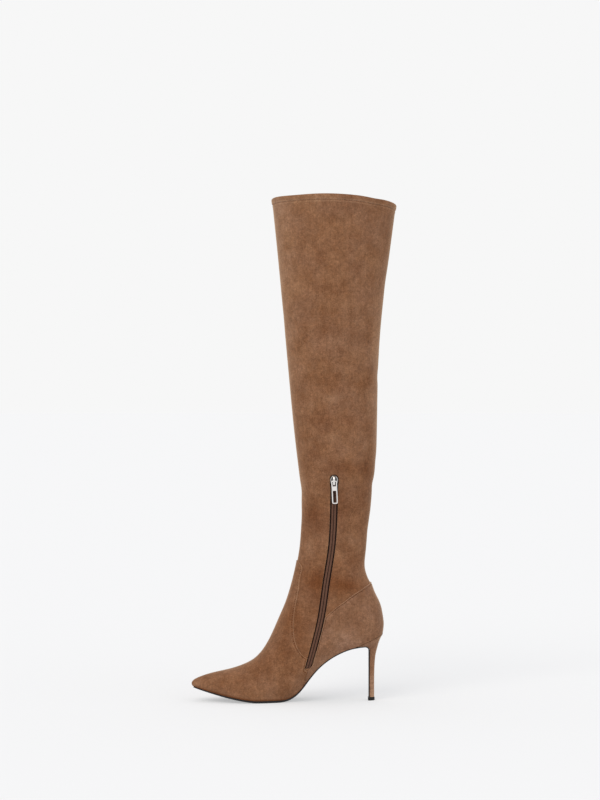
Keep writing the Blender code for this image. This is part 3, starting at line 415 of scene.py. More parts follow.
def front_line():
    """The line up the toe, the instep and the shin, moved in where the vamp lies over it."""
    x = HEEL_BACK - column(INSTEP, "along") * FOOT_LENGTH
    z = toe_lift(x) + column(INSTEP, "up") * ANKLE_HEIGHT
    toe = HEEL_BACK - TOE_START * FOOT_LENGTH
    shaft_x = SHAFT_AXIS - column(SHAFT, "front") * COLLAR_DEPTH
    shaft_z = shaft_height(column(SHAFT, "height"))
    knots = [(toe, feather_height(toe)), *zip(x, z), *zip(shaft_x[1:], shaft_z[1:])]
    curve = spline(knots, SIDE_LINE_POINTS)
    vamp_top = VAMP_EDGE["rows"][0][1] * ANKLE_HEIGHT
    covered = 1 - smoothstep(vamp_top, vamp_top + COLLAR_DEPTH / 4, curve[:, 1])
    covered[curve[:, 0] > SHAFT_AXIS] = 0
    return curve - left_of(curve) * (covered * PANEL)[:, None]


def back_line():
    """The line up the back of the heel and the calf, moved in where the counter lies over it."""
    x = HEEL_BACK - column(HEEL_BACK_LINE, "inset") * FOOT_LENGTH
    z = HEEL_HEIGHT + GAP + column(HEEL_BACK_LINE, "rise") * ANKLE_ABOVE_SEAT
    shaft_x = SHAFT_AXIS + column(SHAFT, "back") * COLLAR_DEPTH
    shaft_z = shaft_height(column(SHAFT, "height"))
    curve = spline([*zip(x, z), *zip(shaft_x, shaft_z)], SIDE_LINE_POINTS)
    counter_top = COUNTER_EDGE["rows"][1][1] * ANKLE_HEIGHT
    covered = 1 - smoothstep(counter_top, counter_top + ANKLE_ABOVE_SEAT / 8, curve[:, 1])
    return curve + left_of(curve) * (covered * PANEL)[:, None]


FRONT = front_line()
BACK = back_line()


def length_at(height, line, length):
    """Length along a side-view line at a height, past the toe, where the line only climbs."""
    return np.interp(height, line[PAST_TOE:, 1], length[PAST_TOE:])


def lowered_front():
    """Front line as the loops follow it: let down to the feather line at the toe, by the square
    of what is left of the climb to the ankle."""
    run = lengths(FRONT)
    climbed = np.clip(run / length_at(ANKLE_HEIGHT, FRONT, run), 0, 1) ** (1 / ROW_POWER)
    drop = FRONT[0, 1] - feather_height(FRONT[0, 0])
    return np.column_stack([FRONT[:, 0], FRONT[:, 1] - drop * (1 - climbed) ** 2])


LOOP_FRONT = lowered_front()


def half_widths(x, z):
    """Half width and middle of the upper: foot and leg widths are mixed by height, then rounded
    off with quarter circles towards the front and the back line."""
    along = (HEEL_BACK - x) / FOOT_LENGTH
    rise = np.clip(z - feather_height(x), 0, None)
    reach = np.clip(rise / (eased(LAST, "bulge", along) * BALL_WIDTH), 0, 1)
    swell = 1 - (1 - reach) ** 2
    inner = eased(LAST, "feather_in", along) * (1 - swell) + eased(LAST, "body_in", along) * swell
    outer = eased(LAST, "feather_out", along) * (1 - swell) + eased(LAST, "body_out", along) * swell
    height = (z - ANKLE_HEIGHT) / (BOOT_HEIGHT - ANKLE_HEIGHT)
    depth = (eased(SHAFT, "front", height) + eased(SHAFT, "back", height)) * COLLAR_DEPTH / 2
    leg = smoothstep(HEEL_HEIGHT * 0.9, ANKLE_HEIGHT * 0.97, z)
    foot_width = (inner + outer) / 2 * BALL_WIDTH
    leg_width = eased(SHAFT, "wide", height) * COLLAR_WIDTH / 2
    width = foot_width * (1 - leg) + leg_width * leg
    crown = eased(LAST, "crown", along) * BALL_WIDTH * (1 - leg) + depth * leg
    heel = HEEL_ROUND * (1 - leg) + depth * leg
    width = width * rounding(gap_to(LOOP_FRONT, x, z) / crown) * rounding(gap_to(BACK, x, z) / heel)
    return width, (outer - inner) / 2 * BALL_WIDTH * (1 - leg)


def side_view(turn, row):
    """Place (x, z) of a loop's point: row 0 to 1 climbs the foot and 1 to 2 the shaft, and turn
    goes from the front (0) over the inner side (a quarter) to the back (a half) and round."""
    front_length, back_length = lengths(FRONT), lengths(BACK)
    front_ankle = length_at(ANKLE_HEIGHT, FRONT, front_length)
    back_ankle = length_at(ANKLE_HEIGHT, BACK, back_length)
    foot, shaft = np.clip(row, 0, 1), np.clip(row - 1, 0, 1)
    front_end = length_at(BOOT_HEIGHT, FRONT, front_length)
    back_end = length_at(BOOT_HEIGHT - COLLAR_DROP, BACK, back_length)
    front_at = front_ankle * foot**ROW_POWER + (front_end - front_ankle) * shaft
    back_at = back_ankle * foot + (back_end - back_ankle) * shaft
    across = (1 - np.cos(2 * np.pi * turn)) / 2
    x, z = (
        np.interp(front_at, front_length, FRONT[:, k]) * (1 - across)
        + np.interp(back_at, back_length, BACK[:, k]) * across
        for k in (0, 1)
    )
    level_x = FRONT[0, 0] + across * (SEAT_BACK - FRONT[0, 0])
    sag = feather_height(level_x) - FRONT[0, 1] - across * (BACK[0, 1] - FRONT[0, 1])
    bow = COLLAR_BOW * np.abs(np.sin(2 * np.pi * turn)) ** BOW_POWER * smoothstep(1.5, 2, row)
    return x, z + sag * np.clip(1 - row, 0, 1) ** 2 + bow


def bells(table, turn, z):
    """Sum of a table's soft spots: the last value times a bell curve in height and one in turn."""
    total = np.zeros(np.shape(z))
    for middle, height, half_turn, half_height, lean, peak in table["rows"]:
        off = (turn - middle + 0.5) % 1 - 0.5
        level = (z - height - lean * off) / half_height
        total += peak * np.exp(-(level**2) - (off / half_turn) ** 2)
    return total


def nap_and_painted_light(points, turn):
    """Tone of the suede: 1 plus the listed patches of nap tone, painted highlights and painted
    shade, less in the folds as painted shade and more on the ridges as painted light.
    """
    tone = 1 - FOLD_SHADE * bells(FOLDS, turn, points[..., 2])
    for along, up, half_along, half_up, slant, peak in NAP_AND_PAINTED_LIGHT["rows"]:
        rise = points[..., 2] - up
        off = (points[..., 0] - along - slant * rise) / half_along
        tone += peak * np.exp(-((rise / half_up) ** 2) - off**2)
    return tone


def line_of(distance, half_width):
    """Bell curve across a fine line: 1 in its middle."""
    return np.exp(-((distance / half_width) ** 2))


def fine_lines(rows, distance):
    """Sum of fine lines: each row holds the line's peak, the distance of its middle and its half
    width."""
    return sum(peak * line_of(distance - middle, half) for peak, middle, half in rows)


def stretches(ends, steps):
    """Even steps from each end to the next, as many as are given for each stretch."""
    parts = [np.linspace(a, b, n, endpoint=False) for a, b, n in zip(ends, ends[1:], steps)]
    return np.append(np.concatenate(parts), ends[-1])


# Painted shade in the crease where the suede turns in under the foot.
CREASE_SHADE = 0.62
CREASE_HALF = 0.0019
CREASE_TOP = (0.045, 0.020)


def crease_shade(points):
    """Painted shade: a dark line where the suede turns in under the foot, from the length climbed
    up the grid; it fades out between the two heights of CREASE_TOP."""
    steps = np.linalg.norm(np.diff(points, axis=0), axis=-1)
    climbed = np.concatenate([np.zeros((1, points.shape[1])), np.cumsum(steps, 0)])
    return CREASE_SHADE * line_of(climbed, CREASE_HALF) * smoothstep(*CREASE_TOP, points[..., 2])


def skin(turn, row):
    """Points and outward normals of the suede: side view, half widths, then the folds along the
    normal, which is the cross product of the differences around and up the grid."""
    x, z = side_view(turn, row)
    width, middle = half_widths(x, z)
    side = -np.sign(np.round(np.sin(2 * np.pi * turn), 9))
    points = np.stack([x, middle + side * width, z], -1)
    wraps = turn[0, -1] + turn[0, 1] - 2 * turn[0, 0] > 0.999
    padded = np.concatenate([points[:, -1:], points, points[:, :1]], 1) if wraps else points
    around = np.gradient(padded, axis=1)
    around = around[:, 1:-1] if wraps else around
    normal = unit(np.cross(around, np.gradient(points, axis=0)))
    return points - normal * bells(FOLDS, turn, z)[..., None], normal


def zip_x(z):
    """Side-view x of the zip's middle at a height, read from its spline."""
    knots = placed(ZIP_LINE)
    line = spline([(knots[0, 0], 1.2 * ZIP_TOP), *knots], 200)
    return np.interp(-z, -line[:, 1], line[:, 0])


def turn_at(reach, rows, first, last):
    """Turn at which a row's loop crosses from reach above 0 to below: the first change of sign
    on a fine grid, placed by straight interpolation."""
    turn = np.linspace(first, last, 900)
    grid_turn, grid_row = np.meshgrid(turn, rows)
    value = reach(*side_view(grid_turn, grid_row))
    k = np.clip(np.argmax(value < 0, axis=1), 1, len(turn) - 1)
    row = np.arange(len(rows))
    high, low = value[row, k - 1], value[row, k]
    return turn[k - 1] + (turn[k] - turn[k - 1]) * high / (high - low)


def mesh_piece(name, points, quads, finish, sharp_degrees=None, tone_and_painted_light=1.0):
    """A mesh object from an array of points and one of quads, without the points no quad uses.
    The last argument is each point's tone, painted highlights and shade included, which its
    finish multiplies into the colour."""
    used, index = np.unique(quads, return_inverse=True)
    mesh = bpy.data.meshes.new(name)
    points = np.asarray(points, float)
    tone_and_painted_light = np.broadcast_to(tone_and_painted_light, points.shape[:-1]).reshape(-1)[used]
    points = points.reshape(-1, 3)[used]
    quads = index.reshape(quads.shape)
    mesh.vertices.add(len(points))
    mesh.vertices.foreach_set("co", points.ravel())
    mesh.loops.add(quads.size)
    mesh.loops.foreach_set("vertex_index", quads.ravel())
    mesh.polygons.add(len(quads))
    mesh.polygons.foreach_set("loop_start", np.arange(0, quads.size, 4))
    mesh.update(calc_edges=True)
    mesh.validate()
    mesh.shade_smooth()
    tone = mesh.attributes.new("tone_and_painted_light", "FLOAT", "POINT")
    tone.data.foreach_set("value", np.ascontiguousarray(tone_and_painted_light, np.float32))
    if sharp_degrees:
        mesh.set_sharp_from_angle(angle=math.radians(sharp_degrees))
    mesh.materials.append(finish)
    piece = bpy.data.objects.new(name, mesh)
    bpy.context.scene.collection.objects.link(piece)
    return piece


def shell_quads(keep, columns):
    """Quads of a closed shell over the kept cells of a grid: the outer face, the inner face
    turned round, and a rim quad wherever the cell beyond an edge isn't kept."""
    rows = keep.shape[0] + 1
    wraps = keep.shape[1] == columns
    i, j = np.nonzero(keep)
    k = (j + 1) % columns
    a, b, c, d = i * columns + j, i * columns + k, (i + 1) * columns + k, (i + 1) * columns + j
    inner = rows * columns
    quads = [np.stack([a, b, c, d], 1), np.stack([a, d, c, b], 1) + inner]
    beyond = np.pad(keep, 1)
    if wraps:
        beyond[1:-1, 0], beyond[1:-1, -1] = keep[:, -1], keep[:, 0]
    sides = ((a, b, -1, 0), (b, c, 0, 1), (c, d, 1, 0), (d, a, 0, -1))
    for start, end, down, over in sides:
        rim = ~beyond[i + 1 + down, j + 1 + over]
        start, end = start[rim], end[rim]
        quads.append(np.stack([end, start, start + inner, end + inner], 1))
    return np.concatenate(quads)


def shell_piece(name, faces, finish, sharp_degrees=None, tone_and_painted_light=1.0, keep=None):
    """A closed shell from its outer and its inner face on one grid, with the same tone on both,
    painted highlights and shade included. All of the grid's cells are kept unless keep says
    which."""
    rows, columns = faces[0].shape[:2]
    keep = np.ones((rows - 1, columns - 1), bool) if keep is None else keep
    tone_and_painted_light = np.broadcast_to(tone_and_painted_light, (2, rows, columns))
    quads = shell_quads(keep, columns)
    return mesh_piece(name, np.stack(faces), quads, finish, sharp_degrees, tone_and_painted_light)


SUEDE_DARK = (0.165, 0.0735, 0.0355)
SUEDE_LIGHT = (0.242, 0.1225, 0.0670)
SUEDE_WARM = (1.02, 1.0, 0.95)
SUEDE_COOL = (0.99, 1.0, 1.04)
SUEDE_PULL = (0.72, 1.05, 1.32)


def finish_nodes(name):
    """A new material with its node tree, its shader and its Object coordinates."""
    made = bpy.data.materials.new(name)
    made.use_nodes = True
    shader = made.node_tree.nodes["Principled BSDF"]
    place_on = made.node_tree.nodes.new("ShaderNodeTexCoord").outputs["Object"]
    return made, made.node_tree, shader, place_on


def dial(node, **values):
    """Sets the inputs of a node, whose names are written with _ for a space."""
    for name, value in values.items():
        node.inputs[name.replace("_", " ")].default_value = value


def noise(tree, place_on, scale, detail, rough, stretch=(1, 1, 1)):
    """A noise on the coordinates after they are stretched."""
    stretched = tree.nodes.new("ShaderNodeMapping")
    dial(stretched, Scale=stretch)
    tree.links.new(place_on, stretched.inputs["Vector"])
    made = tree.nodes.new("ShaderNodeTexNoise")
    dial(made, Scale=scale, Detail=detail, Roughness=rough)
    tree.links.new(stretched.outputs["Vector"], made.inputs["Vector"])
    return made.outputs["Fac"]


def ramp(tree, value, low, high, dark, light):
    """A blend from one colour to another between two values."""
    made = tree.nodes.new("ShaderNodeValToRGB")
    for end, position, tone in zip(made.color_ramp.elements, (low, high), (dark, light)):
        end.position = position
        end.color = (*tone, 1)
    tree.links.new(value, made.inputs["Fac"])
    return made.outputs["Color"]


def multiplied(tree, first, second):
    """One colour times another, which may be lighter than white."""
    made = tree.nodes.new("ShaderNodeMix")
    made.data_type = "RGBA"
    made.blend_type = "MULTIPLY"
    made.clamp_result = False
    dial(made, Factor=1.0)
    tree.links.new(first, made.inputs["A"])
    tree.links.new(second, made.inputs["B"])
    return made.outputs["Result"]


DARKEST_TONE = 0.02


def toned(tree, colour, pull=(1, 1, 1)):
    """The colour times 1 + pull * (tone - 1), with the tone attribute of the piece, which holds its
    own tone with painted highlights and painted shade. A pull that is less in red than in blue
    leaves the dark tones redder and the light tones greyer."""
    tone_and_painted_light = tree.nodes.new("ShaderNodeAttribute")
    tone_and_painted_light.attribute_name = "tone_and_painted_light"
    pulled = tree.nodes.new("ShaderNodeVectorMath")
    pulled.operation = "MULTIPLY_ADD"
    tree.links.new(tone_and_painted_light.outputs["Fac"], pulled.inputs[0])
    pulled.inputs[1].default_value = pull
    pulled.inputs[2].default_value = [1 - share for share in pull]
    held = tree.nodes.new("ShaderNodeVectorMath")
    held.operation = "MAXIMUM"
    tree.links.new(pulled.outputs["Vector"], held.inputs[0])
    held.inputs[1].default_value = [DARKEST_TONE] * 3
    return multiplied(tree, colour, held.outputs["Vector"])


def bumped(tree, height, strength, distance, shader):
    """A bump on the shader's normal."""
    made = tree.nodes.new("ShaderNodeBump")
    dial(made, Strength=strength, Distance=distance)
    tree.links.new(height, made.inputs["Height"])
    tree.links.new(made.outputs["Normal"], shader.inputs["Normal"])


# What the clouds of the nap are multiplied by: warmth, brush marks, upright streaks and speckle.
# Each row holds a noise's size, detail, roughness and stretch, the two values that its blend lies
# between, and the blend's two tones.
SUEDE_MARKS = (
    (26, 4, 0.60, (1, 1, 1), (0.38, 0.62), (SUEDE_WARM, SUEDE_COOL)),
    (260, 4, 0.75, (0.8, 0.8, 1.1), (0.30, 0.70), ([0.78] * 3, [1.22] * 3)),
    (420, 3, 0.70, (1, 1, 0.10), (0.30, 0.70), ([0.90] * 3, [1.10] * 3)),
    (750, 4, 0.75, (1, 1, 1), (0.30, 0.70), ([0.68] * 3, [1.32] * 3)),
)


def suede_material(name, hide):
    """Napped suede: clouds of lighter and darker nap times each row of SUEDE_MARKS, with a fine
    speckle in the bump. hide tints the whole skin."""
    made, tree, shader, place_on = finish_nodes(name)
    dial(shader, Roughness=0.95, Specular_IOR_Level=0.08)
    dial(shader, Sheen_Weight=0.60, Sheen_Roughness=0.32, Sheen_Tint=(1.0, 0.74, 0.52, 1))
    dark, light = ([c * t for c, t in zip(tone, hide)] for tone in (SUEDE_DARK, SUEDE_LIGHT))
    colour = ramp(tree, noise(tree, place_on, 60, 8, 0.72), 0.33, 0.68, dark, light)
    for size, detail, rough, stretch, between, tones in SUEDE_MARKS:
        marks = noise(tree, place_on, size, detail, rough, stretch)
        colour = multiplied(tree, colour, ramp(tree, marks, *between, *tones))
    tree.links.new(toned(tree, colour, SUEDE_PULL), shader.inputs["Base Color"])
    bumped(tree, noise(tree, place_on, 900, 4, 0.7), 0.45, 0.0004, shader)
    return made


suede = suede_material("brown suede", (1, 1, 1))

ROW_HEIGHT = BOOT_HEIGHT - ANKLE_HEIGHT
HEM_DEPTHS = np.array((125, 105, 93, 86, 81, 77, 73, 69, 64, 58, 48, 34, 20, 12, 7, 3, 1, 0)) * 1e-4
# Rows are closer together at the sole, at the zip's top and at the hem.
below_hem = stretches((0, 0.22, 1, 1.165, 1.228, 2 - 0.015 / ROW_HEIGHT), (25, 51, 17, 31, 87))
upper_rows = np.append(below_hem, 2 - HEM_DEPTHS / ROW_HEIGHT)
SLOT_START = UPPER_COLUMNS // 4
SLOT_COLUMNS = 6
SLOT_TOP = ZIP_TOP + 0.0005
SLOT_FOOT_HALF = 0.0043
SLOT_LOW_HALF = 0.0047
SLOT_HEIGHTS = (0.12, 0.25)
SLOT_END_HALF = 0.0012
SLIDER_ROOM = 0.0065
SLOT_SLIDER_SWELL = 0.0007
SLOT_ROUND = 0.0045
SLIDER_HEIGHT = 0.2755
SLOT_FRONT_SHARE = 0.25
SLOT_BACK_SHARE = 0.27
slot_shares = stretches(
    (0, SLOT_FRONT_SHARE, SLOT_BACK_SHARE, 1),
    (SLOT_START, SLOT_COLUMNS, UPPER_COLUMNS - SLOT_START - SLOT_COLUMNS),
)[:-1]


def opening_half(z):
    """Half the zip's slot: slightly narrower at the foot, wider round the slider, and drawn in
    as a quarter circle at its top."""
    halves = (SLOT_FOOT_HALF, SLOT_LOW_HALF, ZIP_OPENING / 2)
    half = np.interp(z, (ZIP_BOTTOM, *SLOT_HEIGHTS), halves)
    by_slider = line_of((z - SLIDER_HEIGHT) ** 2, SLIDER_ROOM**2)
    half = half + SLOT_SLIDER_SWELL * by_slider
    return SLOT_END_HALF + (half - SLOT_END_HALF) * rounding((SLOT_TOP - z) / SLOT_ROUND)


def slot_turns(row, shares, front_edge, back_edge):
    """Turns whose shares SLOT_FRONT_SHARE and SLOT_BACK_SHARE lie on the slot's two edges, with
    straight stretches between, so that grid lines follow the slot."""
    front, back = (np.interp(row, upper_rows, edge) for edge in (front_edge, back_edge))
    ahead = front * shares / SLOT_FRONT_SHARE
    past_front = (shares - SLOT_FRONT_SHARE) / (SLOT_BACK_SHARE - SLOT_FRONT_SHARE)
    behind = back + (1 - back) * (shares - SLOT_BACK_SHARE) / (1 - SLOT_BACK_SHARE)
    inside = front + (back - front) * past_front
    return np.where(past_front < 0, ahead, np.where(shares < SLOT_BACK_SHARE, inside, behind))


slot_front = turn_at(lambda x, z: zip_x(z) - opening_half(z) - x, upper_rows, 0.1, 0.4)
slot_back = turn_at(lambda x, z: zip_x(z) + opening_half(z) - x, upper_rows, 0.1, 0.4)
upper_row = np.repeat(upper_rows[:, None], UPPER_COLUMNS, 1)
upper_turn = slot_turns(upper_row, slot_shares, slot_front, slot_back)
climb = side_view(upper_turn, upper_row)[1]
row_index = np.arange(len(upper_rows))
from_slot = np.abs(np.arange(UPPER_COLUMNS) - SLOT_START - SLOT_COLUMNS / 2) - SLOT_COLUMNS / 2
SLOT_REACH_COLUMNS = 14
SLOT_REACH_ROWS = (20, 22)
near_slot = 1 - smoothstep(0, SLOT_REACH_COLUMNS, from_slot)
slot_ends = []
for end in (ZIP_BOTTOM, SLOT_TOP):
    # One grid line is drawn level across the slot's end, and its neighbours follow less and less.
    last = int(np.argmin(np.abs(climb[:, SLOT_START + SLOT_COLUMNS // 2] - end)))
    level_row = np.array([np.interp(end, line, upper_rows) for line in climb.T])
    first = max(last - SLOT_REACH_ROWS[0], 0)
    follows = np.clip((row_index - first) / (last - first), 0, 1)
    follows -= smoothstep(last, last + SLOT_REACH_ROWS[1], row_index)
    upper_row += follows[:, None] * near_slot * (level_row - upper_rows[last])
    slot_ends.append(last)
upper_turn = slot_turns(upper_row, slot_shares, slot_front, slot_back)
upper_points, upper_normal = skin(upper_turn, upper_row)
below_collar = (2 - upper_row) * ROW_HEIGHT
from_front = np.abs((upper_turn + 0.5) % 1 - 0.5)
# The limp collar dips between its front and each side's middle, and less towards the back. Each
# dip has a depth, a turn from the front and a reach; they fade out over DIP_DEPTH.
COLLAR_DIPS = ((0.0016, 0.14, 0.07), (0.0008, 0.36, 0.03))
DIP_DEPTH = 0.030
dipped = fine_lines(COLLAR_DIPS, from_front) * smoothstep(DIP_DEPTH, 0.0, below_collar)
upper_points[..., 2] -= dipped
upper_keep = np.ones((len(upper_rows) - 1, UPPER_COLUMNS), bool)
slot_cells = slice(SLOT_START, SLOT_START + SLOT_COLUMNS)
upper_keep[slot_ends[0] : slot_ends[1], slot_cells] = False

# Lines beside the hem's stitches, by their distance below them: first the height of the ridge and
# the groove, then painted highlights on the turned hem's edge and on the ridge, and painted shade
# in the groove.
HEM_PUCKERS = 58
PUCKER_SHARE = 0.35
RIM_DRAW = 0.0006
HEM_RELIEF = ((0.0003, 0.0018, 0.0008), (-0.0004, 0.0, 0.0005))
HEM_HIGHLIGHT_AND_SHADE = ((0.55, -0.0008, 0.0007), (0.30, 0.0018, 0.0007), (-0.25, 0.0003, 0.0004))
HEM_LIGHTER = 0.04


def hem_lift(below, turn):
    """How far the turned hem stands out, from the distance below the collar: it swells up from
    its stitch line and rounds in at the rim, over a puckered groove and a low ridge."""
    fold = HEM_STEP * smoothstep(HEM_HEIGHT + 0.0003, HEM_HEIGHT - 0.0020, below)
    rim = (HEM_STEP + RIM_DRAW) * (1 - rounding(below / HEM_RIM))
    pucker = 1 + PUCKER_SHARE * np.cos(2 * np.pi * HEM_PUCKERS * turn)
    return fold - rim + pucker * fine_lines(HEM_RELIEF, below - HEM_HEIGHT)


# Turned hem a little lighter, with painted highlights and shade beside its stitches.
hem_tone_and_painted_light = HEM_LIGHTER * (below_collar < HEM_HEIGHT) + fine_lines(HEM_HIGHLIGHT_AND_SHADE, below_collar - HEM_HEIGHT)
# The upper's tone with its painted highlights and shade, less the crease's painted shade.
upper_tone_and_painted_light = nap_and_painted_light(upper_points, upper_turn) - crease_shade(upper_points) + hem_tone_and_painted_light
upper_outer = upper_points + upper_normal * hem_lift(below_collar, upper_turn)[..., None]
turned_in = smoothstep(HEM_HEIGHT + 0.002, HEM_HEIGHT, below_collar)
inner_depth = SUEDE + (WALL - SUEDE) * turned_in
inner_depth = inner_depth - RIM_DRAW * (1 - rounding(below_collar / HEM_RIM))
upper_faces = (upper_outer, upper_points - upper_normal * inner_depth[..., None])
upper = shell_piece("upper_suede", upper_faces, suede, 50, upper_tone_and_painted_light, upper_keep)
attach(upper, "boot")
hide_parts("upper")


# Lining.
# Thin beige lining glued inside the suede, from the insole up to just under the turned hem.
# It is open behind the zip, where the tape is sewn between it and the suede.

LINING_DARK = (0.30, 0.20, 0.13)
LINING_LIGHT = (0.38, 0.26, 0.17)


def grained_material(name, dark, light, thread, roughness=0.8, bump_height=0.0001):
    """Fine cloth or grain: noise at the thread's size mixes two tones and drives the bump."""
    made, tree, shader, place_on = finish_nodes(name)
    dial(shader, Roughness=roughness, Specular_IOR_Level=0.2)
    grain = noise(tree, place_on, 1 / thread, 3, 0.6)
    colour = ramp(tree, grain, 0.35, 0.65, dark, light)
    tree.links.new(toned(tree, colour), shader.inputs["Base Color"])
    bumped(tree, grain, 0.5, bump_height, shader)
    return made


lining_cloth = grained_material("beige lining", LINING_DARK, LINING_LIGHT, 0.0012)
lining_rows = np.arange(1, int(np.argmax(below_collar[:, 0] < HEM_HEIGHT + 0.002)))
lining_points = upper_points[lining_rows]
lining_normal = upper_normal[lining_rows]
lining_faces = [lining_points - lining_normal * depth for depth in (SUEDE + 0.0001, WALL)]
lining_keep = np.ones((len(lining_rows) - 1, UPPER_COLUMNS), bool)
in_slot = (lining_rows[1:] > slot_ends[0]) & (lining_rows[:-1] < slot_ends[1])
lining_keep[in_slot, slot_cells] = False
lining = shell_piece("lining", lining_faces, lining_cloth, keep=lining_keep)
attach(lining, "boot")


# Vamp.
# The suede panel over the toe and instep. It is skived, folded and sewn over the shaft, so its
# edge stands up as a soft roll with a stitched groove just inside it.

EDGE_ROUND = 0.0009
GROOVE_IN = 0.0023
ROUND_THE_SIDE = 1.4
STITCH_LENGTH = 0.0021
STITCH_PITCH = 0.0029
STITCH_THICK = 0.00042
STITCH_RISE = 0.00006
SUNK = 0.0002
SHORT_HALF = 0.012
VAMP_COLUMNS = 52
PEAK_SHORTFALL = 0.0004
EDGE_STEPS = np.array((0, 0.1, 0.25, 0.5, 0.9, 1.4, 1.8, 2.1, 2.5, 3.2, 4.5)) / 1000

# Lines beside a panel's edge, by their distance in from it: the heights of the roll and of the
# groove, then a painted highlight on the roll, painted shade in the groove and a broader painted
# highlight behind it.
PANEL_RELIEF = ((0.0003, 0.0011, 0.0006), (-0.0003, GROOVE_IN, 0.0004))
PANEL_HIGHLIGHT_AND_SHADE = ((0.50, 0.0006, 0.0008), (-0.50, GROOVE_IN, 0.0006), (0.16, 0.0042, 0.0014))


def panel_lift(edge):
    """Height of a panel's face over the suede below, from the distance to its edge: a quarter
    circle up to its thickness, plus the lines of PANEL_RELIEF."""
    relief = fine_lines(PANEL_RELIEF, edge) * (edge > 0.0002)
    return PANEL * rounding(edge / EDGE_ROUND) - 0.0001 + relief


def panel_tone_and_painted_light(points, turn, edge):
    """Tone of a panel: the boot's own, with a painted highlight on the roll, painted shade in the
    groove and the crease's painted shade.
    """
    return nap_and_painted_light(points, turn) + fine_lines(PANEL_HIGHLIGHT_AND_SHADE, edge) - crease_shade(points)


def panel_piece(name, points, normal, turn, edge, finish):
    """A panel from its grid on the suede: its outer face stands at its lift, and its inner face is
    sunk a little into the suede."""
    faces = (points + normal * panel_lift(edge)[..., None], points - normal * SUNK)
    return shell_piece(name, faces, finish, 60, panel_tone_and_painted_light(points, turn, edge))


def stitch_line(points, normal, edge):
    """Where a panel's stitches lie: just over its outer face."""
    return points + normal * (panel_lift(edge) + STITCH_RISE)[..., None]


def edge_shares(half_length, count):
    """Shares (0 to 1) across half a panel for each row: even ones inside, and at the edge the
    fixed steps of EDGE_STEPS, squeezed where the row is short."""
    squeeze = np.minimum(1, half_length[:, None] / SHORT_HALF)
    steps = EDGE_STEPS[::-1] / half_length[:, None] * squeeze
    inside = np.linspace(0, 1, count, endpoint=False) * (1 - steps[:, :1])
    return np.concatenate([inside, 1 - steps], 1)


def edge_distance(points, ends):
    """Distance along a grid line, over the surface, to the nearer of its given ends."""
    step = np.linalg.norm(np.diff(points, axis=1), axis=-1)
    run = np.concatenate([np.zeros((len(points), 1)), np.cumsum(step, 1)], 1)
    return np.minimum(run, run[:, -1:] - run) if ends == 2 else run


def seam_half(z):
    """Half the gap between the panels beside the zip: the slot's, then a short V to a seam."""
    return opening_half(z) * smoothstep(ZIP_BOTTOM - 0.0036, ZIP_BOTTOM - 0.0006, z) + GAP / 2


vamp_edge = spline(placed(VAMP_EDGE), 300)
VAMP_JOINT = vamp_edge[-1, 1]


def vamp_reach(x, z):
    """How far a side-view point lies ahead of the vamp's edge, or of the zip below it."""
    beside_zip = zip_x(z) - seam_half(z)
    over = np.minimum(np.interp(-z, -vamp_edge[:, 1], vamp_edge[:, 0]), beside_zip)
    return np.where(z > VAMP_JOINT, over, beside_zip) - x


# The last row ends just short of the peak, found on fine rows up the front.
front_rows = np.linspace(0.9, 1.1, 4000)
front_reach = vamp_reach(*side_view(0 * front_rows, front_rows))
peak_row = front_rows[np.argmax(front_reach < 0)] - PEAK_SHORTFALL
vamp_rows = stretches((0, 0.30, 0.86, peak_row), (63, 61, 39))
vamp_turn = turn_at(vamp_reach, vamp_rows, 0, 0.45)
fine_turn = np.linspace(0, 1, 60) * vamp_turn[:, None]
half_points = np.stack(side_view(fine_turn, vamp_rows[:, None]), -1)
half_run = np.linalg.norm(np.diff(half_points, axis=1), axis=-1).sum(1)
half_run += ROUND_THE_SIDE * BALL_WIDTH * vamp_turn
across = edge_shares(half_run, VAMP_COLUMNS)
grid_turn = np.concatenate([-across[:, ::-1], across[:, 1:]], 1) * vamp_turn[:, None]
grid_row = np.broadcast_to(vamp_rows[:, None], grid_turn.shape)
vamp_points, vamp_normal = skin(grid_turn, grid_row)
to_peak = np.linalg.norm(vamp_points - vamp_points[-1:, :], axis=-1)
vamp_gap = np.minimum(edge_distance(vamp_points, 2), to_peak + 0.0002)
vamp = panel_piece("vamp_suede", vamp_points, vamp_normal, grid_turn, vamp_gap, suede)
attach(vamp, "boot")
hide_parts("vamp")

# Painted shadow strip beside a panel's edge: how far out each line lies, how high and how dark.
SEAM_SHADOW_OUT = np.array((-0.0003, 0, 0.0003, 0.0006, 0.0009))
SEAM_SHADOW_LIFT = np.array((0.00030, 0.00022, 0.00014, 0.00008, 0.00003))
SEAM_SHADOW_TONE = np.array((0.60, 0.60, 0.64, 0.76, 0.95))


def seam_shadow_strip(name, edge, inside, normal):
    """Painted shadow right beside a panel's edge: a low, dark ribbon that runs outwards from
    the edge, along the surface and away from the points just inside it."""
    outward = edge - inside
    outward = unit(outward - normal * (outward * normal).sum(-1, keepdims=True))
    flat = edge[:, None] + outward[:, None] * SEAM_SHADOW_OUT[:, None]
    faces = [flat + normal[:, None] * SEAM_SHADOW_LIFT[:, None], flat - normal[:, None] * SUNK]
    across_way = np.cross(edge[1] - edge[0], outward[0])
    if np.dot(across_way, normal[0]) > 0:
        faces.reverse()
    made = shell_piece(name, faces, suede, None, SEAM_SHADOW_TONE)
    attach(made, "boot")


